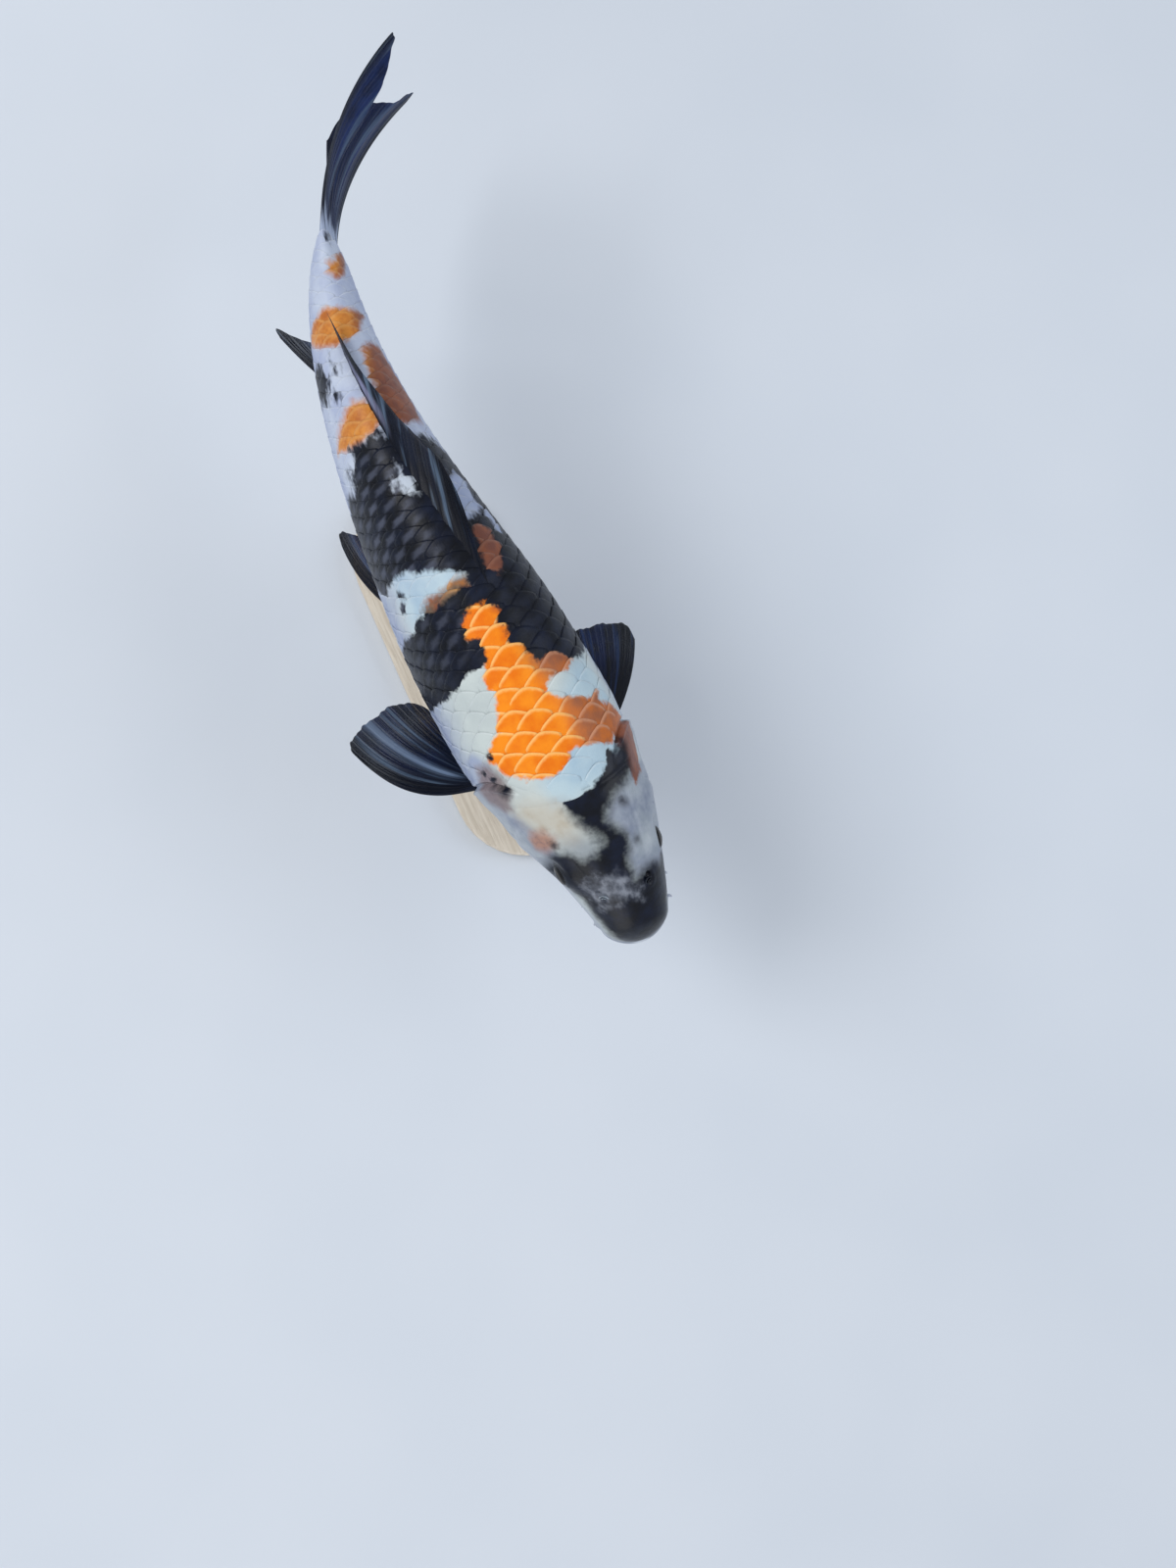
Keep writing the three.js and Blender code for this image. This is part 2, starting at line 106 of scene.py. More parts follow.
# ---------------------------------------------------------------- the body, as in the part

STANDARD_LENGTH = 297
SNOUT = (9.2, -128.5)
AXIS_HEIGHT = 110
SNOUT_ROUND = 8

HEADING = curve([[0, 6.4], [50, -5.9], [110, -6.2], [180, -4], [240, 4.8], [297, 21.9]])
SKEW = curve([[0, -1], [22, 2], [36, 6.6], [60, 7], [80, 4.8], [110, 1], [150, 0], [297, 0]])
ROLL = curve([[0, -3], [60, -2], [135, 7], [180, 2], [215, -1], [250, -4], [297, -6]])
HALF_WIDTH = curve([
    [0, 10.5], [8, 13.4], [30, 20], [60, 29], [92, 32], [125, 30.4], [175, 24.7], [225, 17.3],
    [248, 13.8], [272, 9.8], [297, 4.2],
])
BACK = curve([
    [0, 1.5], [8, 7.5], [24, 18], [45, 27.2], [60, 32], [85, 38], [125, 42.4], [150, 43], [175, 40.6],
    [225, 30.6], [265, 21], [297, 17.6],
])
BELLY = curve([
    [0, -17], [8, -19.5], [24, -25], [60, -34.4], [100, -40.3], [125, -41], [160, -38.8], [200, -32],
    [240, -22.3], [270, -17.6], [297, -17.2],
])
WIDEST = curve([[0, -7.5], [20, -6], [45, -2.5], [80, 0], [297, 0]])
FULLNESS_ABOVE = curve([[0, 2.1], [35, 2.5], [80, 2.15], [297, 2]])
FULLNESS_BELOW = curve([[0, 2.1], [35, 2], [110, 2.2], [297, 2]])

ROOT_TAPER = 16  # over this length the body thins towards the tail fin's root
ROOT_THIN = 0.15

NAPE = 56
GILL_REACH = 24

_headings = np.radians(HEADING(np.arange(STANDARD_LENGTH) + 0.5))
SPINE = np.array(SNOUT) + np.vstack([
    np.zeros(2),
    np.cumsum(np.stack([np.sin(_headings), np.cos(_headings)], 1), 0),
])


def frame_at(at):
    """The spine's point and the directions to the tail, the left flank and the back there."""
    at = np.asarray(at, float)
    i = np.clip(np.floor(at).astype(int), 0, STANDARD_LENGTH - 1)
    plan = mix(SPINE[i], SPINE[i + 1], (at - i)[..., None])
    heading = np.radians(HEADING(at) + SKEW(at))
    roll = np.radians(ROLL(at))[..., None]
    flat = np.zeros_like(at)
    origin = np.stack([plan[..., 0], plan[..., 1], flat + AXIS_HEIGHT], -1)
    tail = np.stack([np.sin(heading), np.cos(heading), flat], -1)
    level = np.stack([np.cos(heading), -np.sin(heading), flat], -1)
    plumb = np.array([0.0, 0.0, 1.0])
    side = level * np.cos(roll) - plumb * np.sin(roll)
    up = plumb * np.cos(roll) + level * np.sin(roll)
    return origin, tail, side, up


def beside(at, side, up):
    """A point beside the spine."""
    origin, _, to_side, to_back = frame_at(at)
    return origin + to_side * np.asarray(side)[..., None] + to_back * np.asarray(up)[..., None]


def towards(at, tail, side, up):
    """A direction given in the body's own terms."""
    _, to_tail, to_side, to_back = frame_at(at)
    parts = [np.asarray(value, float)[..., None] for value in (tail, side, up)]
    return to_tail * parts[0] + to_side * parts[1] + to_back * parts[2]


def section(at, angle, grow=0.0):
    """Distances to the left and up from the spine of the body's surface."""
    rounding = np.clip((at + grow) / (SNOUT_ROUND + grow), 0, 1)
    size = np.sqrt(1 - (1 - rounding) ** 2)
    across, upright = np.sin(angle), np.cos(angle)
    above = upright > 0
    power = 2 / np.where(above, FULLNESS_ABOVE(at), FULLNESS_BELOW(at))
    middle = WIDEST(at)
    height = np.where(above, BACK(at) - middle, middle - BELLY(at))
    thicker = grow * np.minimum(1, size * 4)
    ending = np.clip((STANDARD_LENGTH + 1 - at) / ROOT_TAPER, 0, 1)
    thin = mix(ROOT_THIN, 1, np.sqrt(ending * (2 - ending)))
    side = (HALF_WIDTH(at) * size * thin + thicker) * bend(across, power)
    up = (height * size + thicker) * bend(upright, power)
    return side, middle + up


def on_body(at, angle, grow=0.0):
    return beside(at, *section(at, angle, grow))


def gill_line(angle):
    """How far back the head reaches at an angle."""
    return NAPE + GILL_REACH * (1 - np.cos(angle) ** 4)


def angle_at_height(at, height):
    """The angle at which the lower flank has a given height."""
    low, high = math.pi / 2, math.pi
    for _ in range(24):
        middle = (low + high) / 2
        if section(np.float64(at), middle)[1] > height:
            low = middle
        else:
            high = middle
    return low


# Round the section, arc lengths from the back are turned into angles by a table.
ARC_STEPS = 180
_table_at = np.arange(0.0, STANDARD_LENGTH + 1)
_table_angle = np.linspace(0, math.pi, 361)


def _measure_arcs():
    """Half the girth at each millimetre, and the angles that part it in equal arcs."""
    at = np.repeat(_table_at[:, None], len(_table_angle), 1)
    side, up = section(at, np.broadcast_to(_table_angle, at.shape))
    arcs = np.cumsum(np.hypot(np.diff(side, axis=1), np.diff(up, axis=1)), 1)
    arcs = np.hstack([np.zeros((len(at), 1)), arcs])
    shares = np.linspace(0, 1, ARC_STEPS + 1)
    angles = [np.interp(shares * row[-1], row, _table_angle) for row in arcs]
    return arcs[:, -1], np.array(angles)


HALF_GIRTHS, ARC_ANGLES = _measure_arcs()


def half_girth(at):
    return np.interp(at, _table_at, HALF_GIRTHS)


def angle_of_arc(at, arc):
    """The angle at an arc length from the back, positive to the left."""
    share = np.clip(np.abs(arc) / half_girth(at), 0, 1) * ARC_STEPS
    row = np.clip(at, 0, STANDARD_LENGTH - 1e-6)
    i = row.astype(int)
    j = np.minimum(share.astype(int), ARC_STEPS - 1)
    f, g = row - i, share - j
    near = mix(ARC_ANGLES[i, j], ARC_ANGLES[i, j + 1], g)
    far = mix(ARC_ANGLES[i + 1, j], ARC_ANGLES[i + 1, j + 1], g)
    return np.sign(arc) * mix(near, far, f)


# ---------------------------------------------------------------- meshes


def grid_faces(rows, columns, wrap=False, wrap_rows=False):
    """Quads of a grid of rows by columns of points, whose last column or row may join the first."""
    index = np.arange(rows * columns).reshape(rows, columns)
    if wrap:
        index = np.hstack([index, index[:, :1]])
    if wrap_rows:
        index = np.vstack([index, index[:1]])
    corners = (index[:-1, :-1], index[1:, :-1], index[1:, 1:], index[:-1, 1:])
    return np.stack([corner.ravel() for corner in corners], 1)


def tube_faces(rings, around):
    """Quads between rings of points, and a cap on the first and the last ring."""
    first = np.arange(around)[None]
    last = first + (rings - 1) * around
    return [grid_faces(rings, around, wrap=True), first, last[:, ::-1]]


def sheet_faces(rows, columns):
    """Quads of a thin closed sheet: an upper grid of points, a lower one like it, and the rim."""
    count = rows * columns
    index = np.arange(count).reshape(rows, columns)
    upper = grid_faces(rows, columns)
    edge = np.concatenate([index[0, :-1], index[:-1, -1], index[-1, :0:-1], index[:0:-1, 0]])
    after = np.roll(edge, -1)
    rim = np.stack([edge, after, after + count, edge + count], 1)
    return np.vstack([upper, upper[:, ::-1] + count, rim])


def mesh_piece(name, points, faces, material, fields=(), uv=None, replaces=()):
    """A smooth mesh on the part's body. faces is a list of index arrays, fields is {name: values}."""
    points = np.reshape(points, (-1, 3))
    mesh = bpy.data.meshes.new(name)
    mesh.vertices.add(len(points))
    mesh.vertices.foreach_set("co", (points * MM).astype(np.float32).ravel())
    totals = np.concatenate([np.full(len(part), part.shape[1]) for part in faces])
    corners = np.concatenate([part.ravel() for part in faces])
    mesh.loops.add(len(corners))
    mesh.loops.foreach_set("vertex_index", corners.astype(np.int32))
    mesh.polygons.add(len(totals))
    mesh.polygons.foreach_set("loop_start", np.r_[0, np.cumsum(totals)[:-1]].astype(np.int32))
    mesh.polygons.foreach_set("loop_total", totals.astype(np.int32))
    mesh.polygons.foreach_set("use_smooth", np.ones(len(totals), bool))
    if uv is not None:
        layer = mesh.uv_layers.new(name="OFBake")
        layer.data.foreach_set("uv", uv[corners].astype(np.float32).ravel())
    for field, values in dict(fields).items():
        attribute = mesh.attributes.new(field, "FLOAT", "POINT")
        attribute.data.foreach_set("value", np.asarray(values, np.float32).ravel())
    mesh.update(calc_edges=True)
    mesh.validate()
    mesh.materials.append(material)
    piece = bpy.data.objects.new(name, mesh)
    bpy.context.scene.collection.objects.link(piece)
    if replaces:
        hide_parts(*replaces)
    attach(piece, "root")
    return piece


UNWRAP_LENGTH, UNWRAP_GIRTH = 310, 260  # what the whole UV square spans
UNWRAP_EDGE = 0.01  # where the snout lies on it


def skin_uv(at, arc):
    """A place on the unwrap of the skin, from the distances along the spine and round the section."""
    return np.stack([UNWRAP_EDGE + at / UNWRAP_LENGTH, 0.5 + arc / UNWRAP_GIRTH], -1)


# ---------------------------------------------------------------- markings

# Outlines of (at, degrees), negative degrees on the right flank.
SUMI_OUTLINES = [
    # the head: snout, forehead and the band that crosses to the left gill
    [(-3, -66), (14, -64), (24, -62), (31, -72), (33, -88), (40, -88), (43, -64), (45, -46), (43, -30),
     (38.5, -20), (38.5, -10), (41, -3), (46, -4), (52, -9), (58, -11), (61, -9), (61, 0), (62, 8),
     (66, 20), (68, 26), (73, 29), (74, 33), (71, 36), (73, 42), (77, 46), (72, 51), (62, 47), (60, 40),
     (58, 32), (56, 22), (52, 12), (48, 8), (44, 13), (41, 19), (38, 18), (33, 12), (25, 12), (27, 25),
     (28, 40), (27, 50), (30, 60), (33, 73), (20, 82), (-3, 84)],
    # the band behind the right shoulder
    [(131, -121), (124, -119), (117, -104), (115, -88), (116, -75), (116, -60), (118, -45), (119, -31),
     (120, -20), (128, -18), (131, -25), (137, -24), (140, -12), (139, -3), (145, -4), (148, -11),
     (147, -25), (145, -38), (147, -46), (146, -56), (143, -66), (144, -80), (141, -96), (139, -112)],
    # the right flank
    [(182, -118), (172, -112), (166, -93), (161, -75), (163, -60), (163, -42), (158, -22), (155, -12),
     (150, -5), (150, 5), (212, 5), (211, -4), (213, -12), (212, -25), (213, -40), (206, -42), (203, -52),
     (199, -60), (200, -76), (196, -88), (194, -104)],
    # the left flank and the back
    [(111, 9), (118, 2), (126, -1), (134, 0), (140, -4), (150, -6), (213, -4), (210, 12), (208, 32),
     (205, 52), (198, 70), (186, 92), (165, 104), (140, 96), (122, 92), (110, 70), (106, 50), (106, 38),
     (109, 28), (112, 20)],
    # streaks on the tail stalk
    [(235, -78), (232, -55), (235, -45), (240, -38), (245, -45), (248, -60), (247, -80)],
    [(290, 10), (293, 12), (295, 30), (295, 46), (292, 32)],
    # hidden side: the belly's edge
    [(94, 114), (99, 103), (108, 98), (118, 104), (129, 110), (125, 121), (112, 126), (101, 124)],
    [(216, 104), (223, 94), (233, 90), (243, 95), (242, 104), (232, 112), (222, 113)],
]
# Where the brick piece lies in the sumi, and where white or the ochre trim shows through it.
BRICK_PIECE = [
    (145, 12), (150, 10), (155, 13), (160, 18), (164, 24), (166, 31), (161, 36), (155, 33), (150, 27),
    (147, 20),
]
TRIM = [
    (142, -44), (148, -46), (149, -38), (150, -26), (151.5, -14), (150.5, -5), (145, -6), (143, -22),
]
SUMI_GAPS = [
    [(147, -42), (149, -48), (153, -10), (150.5, -4), (148.8, -9), (148.6, -26)],
    [(170, 24), (176, 22), (181, 28), (186, 35), (188, 50), (184, 58), (180, 52), (173, 50), (170, 40)],
    [(160, 50), (164, 46), (170, 50), (171, 57), (164, 58)],
    [(185, 0), (188, -8), (191, -10), (193, -18), (195, -9), (198, -3), (192, 2), (188, 4)],
]
# Small dots of sumi: (at, degrees, radius).
SUMI_DOTS = [
    (74, -46, 2.2), (84, -58, 1.3), (80, -52, 1.5), (47, -37, 1.3), (44, -41, 1.2), (38, 25, 1.3),
    (53, 25, 1.6), (121, -31, 1.3), (204, -57, 1.6), (205, -49, 1.2), (232, -33, 1.7), (243, -20, 1.5),
    (245, -25, 1.1), (78, -54, 1.1), (76, -49, 1.0), (88, -45, 0.9), (153, -62, 1.4), (157, -58, 1.6),
]
HI_OUTLINES = [
    [(87, -47), (80, -39), (74, -28), (71, -12), (74, 0), (78, 8), (76, 22), (74, 38), (78, 47),
     (84, 50), (89, 45), (93, 48), (92, 33), (94, 22), (97, 12), (100, 6), (103, 8), (104, 20),
     (105, 34), (108, 44), (114, 34), (120, 20), (126, 8), (137, 6), (145, -2), (146, -24), (132, -30),
     (126, -24), (119, -22), (117, -26), (112, -26), (106, -23), (100, -28), (95, -30), (92, -38)],
    TRIM,
    [(215, -68), (213, -50), (212, -35), (212, -20), (213, -8), (217, 5), (221, 7), (226, 0),
     (228, -15), (225, -28), (222, -42), (218, -58)],
    [(212, 36), (215, 20), (223, 13), (232, 16), (240, 19), (246, 25), (249, 45), (248, 64), (225, 74),
     (213, 60)],
    [(250, -10), (252, -35), (254, -55), (256, -72), (261, -62), (262, -40), (264, -25), (265, -10),
     (264, 10), (264, 25), (263, 40), (261, 60), (257, 45), (253, 30), (250, 10)],
    [(278, 0), (282, 8), (283, 20), (285, 35), (288, 55), (288, 78), (282, 60), (278, 40), (276, 20)],
    [(57, 45), (66, 42), (74, 43), (82, 45), (88, 49), (85, 60), (79, 70), (70, 67), (60, 60)],
]
# The orange is dull ochre in the trim, and turns so between these places.
DULL_FROM, DULL_TO = 190, 212
# Soft brownish blushes on the right cheek and gill cover.
BLUSH_OUTLINES = [
    [(47, -36), (50, -31), (54, -36), (55, -46), (53, -56), (49, -60), (46, -50)],
    [(66, -50), (72, -43), (79, -43), (86, -50), (87, -62), (81, -70), (73, -70), (67, -60)],
]
# Where the orange turns brick brown: in these, and left of so many degrees. Left of the line it is partly
# the koi's own brick and partly painted shade of the left flank, which faces away from the light.
BRICK_OUTLINES = [[(138, -52), (152, -52), (153, -28), (148, -20), (140, -22)]]
BRICK_AND_SHADE_LINE = curve([
    [60, 14], [95, 13], [110, 4], [125, 1], [150, -4], [160, -4], [225, 9], [250, 30], [297, 40],
])
# Where the head's white is warm, and where the sumi of the nose has paler wisps.
BEIGE_OUTLINES = [
    [(37, -8), (40, -2), (46, -5), (50, -9), (58, -10), (62, -14), (66, -30), (67, -42), (62, -50),
     (56, -42), (50, -31), (44, -30), (38, -22)],
]
GREY_OUTLINES = [
    [(18, -44), (22, -50), (29, -45), (32, -30), (31, -12), (29, 2), (25, 12), (19, 18), (15, 15), (16, 2),
     (17, -24)],
]
# Painted shade: bluish whites on the cheeks and the flanks, where they turn away from the light.
SHADE_OUTLINES = [
    [(24, 12), (33, 11), (38, 16), (41, 18), (44, 13), (49, 8), (53, 13), (57, 24), (60, 36), (64, 50),
     (66, 100), (24, 100)],
    [(166, 20), (190, 20), (192, 62), (156, 62), (156, 44)],
    [(58, -62), (86, -50), (92, -60), (92, -130), (56, -130)],
    [(38, -40), (48, -42), (57, -45), (64, -52), (64, -130), (24, -130), (30, -80)],
]
# Bluer whites: the crescent behind the head and the patch in mid flank.
ICE_OUTLINES = [
    [(60, -20), (62, 20), (70, 52), (92, 58), (106, 50), (104, 30), (94, 10), (80, 4), (72, -18)],
    [(145, -64), (145, -6), (168, -6), (168, -64)],
]
# Where the sumi is only the scales' dark rims round greyer middles.
KAGE_OUTLINES = [
    [(124, -100), (122, -45), (126, -26), (138, -18), (150, -30), (156, -9), (176, -8), (200, -8),
     (208, -14), (208, -36), (200, -50), (198, -100), (160, -125)],
]

# The body's mean radius, by which degrees are read as millimetres.
ROUND = curve([[0, 5], [10, 14], [30, 22], [60, 30], [110, 36], [150, 34], [225, 24], [297, 12]])


def on_map(at, degrees):
    return np.stack([at, np.radians(degrees) * ROUND(at)], -1)


def depth_inside(outline, at, angle, reach=8):
    """How many millimetres inside an outline each point lies, negative outside, to reach at most."""
    corners = np.array(outline, float)
    corners = on_map(corners[:, 0], corners[:, 1])
    points = on_map(at, np.degrees(angle))
    depth = np.full(len(points), -float(reach))
    near = np.all((points > corners.min(0) - reach) & (points < corners.max(0) + reach), 1)
    p = points[near]
    gap = np.full(len(p), np.inf)
    inside = np.zeros(len(p), bool)
    for a, b in zip(corners, np.roll(corners, -1, 0)):
        edge = b - a
        f = np.clip((p - a) @ edge / (edge @ edge), 0, 1)
        gap = np.minimum(gap, np.linalg.norm(p - a - f[:, None] * edge, axis=1))
        crosses = (a[1] > p[:, 1]) != (b[1] > p[:, 1])
        rise = edge[1] if edge[1] != 0 else 1e-9
        inside ^= crosses & (p[:, 0] < a[0] + (p[:, 1] - a[1]) * edge[0] / rise)
    depth[near] = np.clip(np.where(inside, gap, -gap), -reach, reach)
    return depth


def deepest(outlines, at, angle):
    return np.max([depth_inside(outline, at, angle) for outline in outlines], 0)


def marking_fields(at, angle):
    """The markings at points of the body, with the painted shade of the flanks, as depths in millimetres
    or shares, for the pigments.
    """
    degrees = np.abs(np.degrees(angle))
    points = on_map(at, np.degrees(angle))
    brick_piece = depth_inside(BRICK_PIECE, at, angle)
    trim = depth_inside(TRIM, at, angle)
    gaps = np.maximum(brick_piece, deepest(SUMI_GAPS, at, angle))
    sumi = np.minimum(deepest(SUMI_OUTLINES, at, angle), -gaps)
    for dot_at, dot_degrees, radius in SUMI_DOTS:
        centre = on_map(np.float64(dot_at), dot_degrees)
        sumi = np.maximum(sumi, radius - np.linalg.norm(points - centre, axis=1))
    # brick brown left of the line: partly the koi's own colour, partly painted shade of the left flank
    brick_and_shade = np.radians(np.degrees(angle) - BRICK_AND_SHADE_LINE(at)) * ROUND(at)
    brick_and_shade = np.maximum(brick_and_shade, deepest(BRICK_OUTLINES, at, angle))
    kage = mix(0.55, 1, smooth(at, 138, 158)) * mix(1, 0.45, smooth(degrees, 58, 84))
    # painted shade in the shaded outlines on the cheeks and the flanks
    flank_shade = 0.9 * smooth(deepest(SHADE_OUTLINES, at, angle), -3, 2)
    return {
        "sumi": sumi,
        "hi": np.maximum(deepest(HI_OUTLINES, at, angle), brick_piece + 2.5),
        "dull": np.maximum(smooth(at, DULL_FROM, DULL_TO), smooth(trim, -4, -1)),
        "brick_and_shade": np.clip(brick_and_shade, -8, 8),
        "taupe": smooth(trim, -3, 0),
        "blush": deepest(BLUSH_OUTLINES, at, angle),
        "beige": deepest(BEIGE_OUTLINES, at, angle),
        "grey": deepest(GREY_OUTLINES, at, angle),
        "kage": kage * smooth(deepest(KAGE_OUTLINES, at, angle), -2, 3),
        # painted shade: bluish from mid flank round towards the belly, where the body turns away from the
        # light
        "flank_shade": np.maximum(smooth(degrees, 50, 92), flank_shade),
        "ice": smooth(deepest(ICE_OUTLINES, at, angle), -4, 4),
        "belly": smooth(degrees, 105, 150),
        "head": 1 - smooth(at - gill_line(angle), -2, 3),
        "along": at / STANDARD_LENGTH,
    }


# ---------------------------------------------------------------- the skin and the head's relief

COAT_DEPTH = 0.55  # how far the skin lies inside the outline, where scales cover it
SKIN_AROUND = 240
EYE = {"at": 36, "height": 9.5, "radius": 5.8, "sunk": 5.9}
EYE_RIM = {"away": 4.6, "along": 3.45, "wide": 0.72, "tall": 0.4}
MOUTH = {"front": -12.4, "corner": -17, "length": 17}
NOSTRIL = {"at": 22.6, "degrees": 28.6}
BARBELS = {
    "front": {"at": 11.5, "height": -10, "tail": 0.5, "out": 4.6, "down": 5, "radius": 0.75},
    "rear": {"at": 19.5, "height": -15.5, "tail": 1.0, "out": 7.2, "down": 8.4, "radius": 0.95},
}
BARBEL_TIP = 0.38  # its radius there
BARBEL_SPREAD = {"left": 0.85, "right": 0.4}  # how far each side's reach out
GILL_AT = 70  # the ring of the skin's grid that follows the gill line
PREOPERCLE = curve([[56, 59], [80, 56.5], [100, 52], [120, 45], [140, 36], [165, 28]])  # by degrees
THROAT_FOLDS = (5, 9.5, 14, 18.5)  # millimetres ahead of the gill line
SIDES = {"left": 1, "right": -1}


def eye_frame(side):
    """The eye's centre, and the directions outwards, to the tail and to the back."""
    at = np.float64(EYE["at"])
    centre = beside(at, side * (HALF_WIDTH(at) - EYE["sunk"]), EYE["height"])
    outwards = unit(towards(at, -0.14, side, 0.12))
    to_tail = towards(at, 1, 0, 0)
    to_tail = unit(to_tail - outwards * (to_tail @ outwards))
    to_back = np.cross(outwards, to_tail) * side
    return centre, outwards, to_tail, to_back


def skin_rings():
    """Distances of the skin's rings from the snout: close on the head, wider on the trunk."""
    snout = SNOUT_ROUND * (1 - np.cos(np.linspace(0.06, math.pi / 2, 26)))
    return np.concatenate([
        snout,
        np.arange(8.45, GILL_AT - 2, 0.45),
        np.arange(GILL_AT - 2, GILL_AT + 2, 0.2),
        np.arange(GILL_AT + 2, 92, 0.8),
        np.arange(92, 288, 2.0),
        np.linspace(288, STANDARD_LENGTH - 0.01, 14),
    ])


def mouth_relief(at, height):
    """Two lips with a slit between, a fold beside each, and the mouth's corner with its crease."""
    slit = mix(MOUTH["front"], MOUTH["corner"], np.minimum(at / MOUTH["length"], 1.1))
    above = height - slit
    lips = 1 - smooth(at, 12.5, 18.5)
    folds = 1 - smooth(at, 15, 24)
    relief = lips * (1.45 * bump(above - 1.75, 1.2) + 1.35 * bump(above + 1.75, 1.25))
    relief -= 2.3 * (1 - smooth(at, 15.5, 19.5)) * bump(above, 0.55)
    relief -= folds * (0.8 * bump(above - 4.2, 0.8) + 0.6 * bump(above + 4.6, 0.9))
    corner = np.hypot(at - 18.6, (height - MOUTH["corner"] + 0.3))
    relief -= 1.2 * bump(corner, 1.7)
    fold_at = 21.5 + 0.06 * (height - MOUTH["corner"]) ** 2 / 4
    relief -= 0.55 * bump(at - fold_at, 1.0) * smooth(-height, 9, 13) * (1 - smooth(-height, 24, 30))
    return relief * smooth(-height, 7.4, 9.4)


def barbel_relief(at, height, angle):
    """A low mound at each barbel's root."""
    relief = 0
    for form in BARBELS.values():
        relief = relief + 0.9 * bump(np.hypot(at - form["at"], height - form["height"]), 1.9)
    return np.where(np.abs(angle) > 1.0, relief, 0)


def nostril_relief(at, angle):
    """A shallow dish with a raised edge and two openings."""
    across = (np.abs(angle) - math.radians(NOSTRIL["degrees"])) * ROUND(at)
    along = at - NOSTRIL["at"]
    away = np.hypot(along, across)
    relief = -0.4 * bump(away, 2.4) + 0.18 * bump(away - 3.0, 0.8)
    relief -= 1.1 * bump(np.hypot(along + 1.4, across + 0.3), 0.75)
    relief -= 1.4 * bump(np.hypot(along - 1.3, across - 0.2), 0.9)
    return relief


def cheek_relief(at, angle):
    """The cheek's bones: the gill cover's rear edge and plates, and the folds of the throat."""
    degrees = np.abs(np.degrees(angle))
    behind = at - gill_line(angle)
    flank = smooth(degrees, 34, 50) * (1 - smooth(degrees, 158, 174))
    relief = flank * 1.25 * smooth(behind, -16, -3.5) * (1 - smooth(behind, -0.9, 0.15))
    relief += flank * (0.28 * bump(behind + 1.3, 0.7) - 1.15 * bump(behind - 0.55, 0.75))
    cheek_edge = PREOPERCLE(degrees)
    cheek = smooth(degrees, 56, 70) * (1 - smooth(degrees, 150, 165))
    relief += cheek * (0.35 * bump(at - cheek_edge + 3.2, 2.4) - 0.6 * bump(at - cheek_edge, 1.0))
    plate = smooth(at, 58, 62) * (1 - smooth(behind, -4, -1))
    relief -= 0.45 * plate * bump((degrees - 121 + 0.5 * (at - 66)) * 0.5, 0.9)
    throat = smooth(degrees, 132, 140) * (1 - smooth(degrees, 166, 176))
    for fold in THROAT_FOLDS:
        relief -= throat * 0.4 * bump(behind + fold, 0.9)
    return relief


def skull_relief(at, angle):
    """Low forms of the skull over the eyes, and the creases of the nape, chin and jaw."""
    degrees = np.abs(np.degrees(angle))
    brow = 0.5 * bump(degrees - 47, 11) * bump(at - 35, 9)
    middle = -0.35 * bump(degrees, 8) * bump(at - 44, 9)
    crown = 0.3 * bump(degrees - 14, 8) * bump(at - 50, 9)
    nape_edge = at - 61.5 - 0.0022 * degrees**2
    nape = -0.45 * bump(nape_edge, 0.9) * (1 - smooth(degrees, 40, 52))
    canal = -0.14 * bump(degrees - 31, 1.6) * smooth(at, 26, 30) * (1 - smooth(at, 54, 60))
    chin = -0.5 * bump((180 - degrees) * 0.3, 1.1) * smooth(at, 20, 28) * (1 - smooth(at, 50, 60))
    jaw = -0.5 * bump((180 - degrees - 34) * 0.4, 0.9) * smooth(at, 9, 15) * (1 - smooth(at, 44, 56))
    return brow + middle + crown + nape + canal + chin + jaw


def settle_round_eye(points, side):
    """Draws the skin near an eye up to the rim that hugs the eyeball, and under the ball within it."""
    centre, outwards, _, _ = eye_frame(side)
    offset = points - centre
    along = offset @ outwards
    away = np.sqrt(np.maximum(np.einsum("...i,...i", offset, offset) - along**2, 0))
    ball = np.sqrt(np.maximum(EYE["radius"] ** 2 - away**2, 0))
    beyond = away - EYE_RIM["away"]
    rim = EYE_RIM["along"] + 0.05 - 0.14 * np.maximum(beyond, 0)
    rim = rim + 0.28 * bump(beyond - 0.9, 0.6)
    target = mix(ball - 1.3, rim, smooth(beyond, -0.5, -0.15))
    hold = (1 - smooth(beyond, 0.3, 6.4)) * (along > -2)
    lifted = points + outwards * (hold * (target - along))[..., None]
    groove = -0.12 * bump(beyond - 2.5, 0.8) * (along > -2)
    return lifted + outwards * groove[..., None]


def skin_points():
    rings = skin_rings()
    around = np.linspace(-math.pi, math.pi, SKIN_AROUND, endpoint=False)
    ring, angle = grid(rings, around)
    follow = smooth(ring, 18, GILL_AT - 3) * (1 - smooth(ring, GILL_AT + 3, 118))
    at = ring + follow * (gill_line(angle) - GILL_AT)
    coat = COAT_DEPTH * smooth(at - gill_line(angle), 0, 8)
    side, height = section(at, angle, -coat)
    points = beside(at, side, height)
    along = np.gradient(points, axis=0)
    across = np.roll(points, -1, 1) - np.roll(points, 1, 1)
    normal = unit(np.cross(across, along))
    relief = mouth_relief(at, height) + barbel_relief(at, height, angle)
    relief += nostril_relief(at, angle) + cheek_relief(at, angle) + skull_relief(at, angle)
    relief *= 1 - smooth(at, 84, 92)
    points = points + normal * relief[..., None]
    for eye_side in SIDES.values():
        points = settle_round_eye(points, eye_side)
    return points, at, angle


FLESH = (
    "head", "lower_jaw", "upper_lip", "lower_lip", "gill_cover_left", "gill_cover_right", "trunk_front",
    "trunk_rear", "tail_stalk",
)


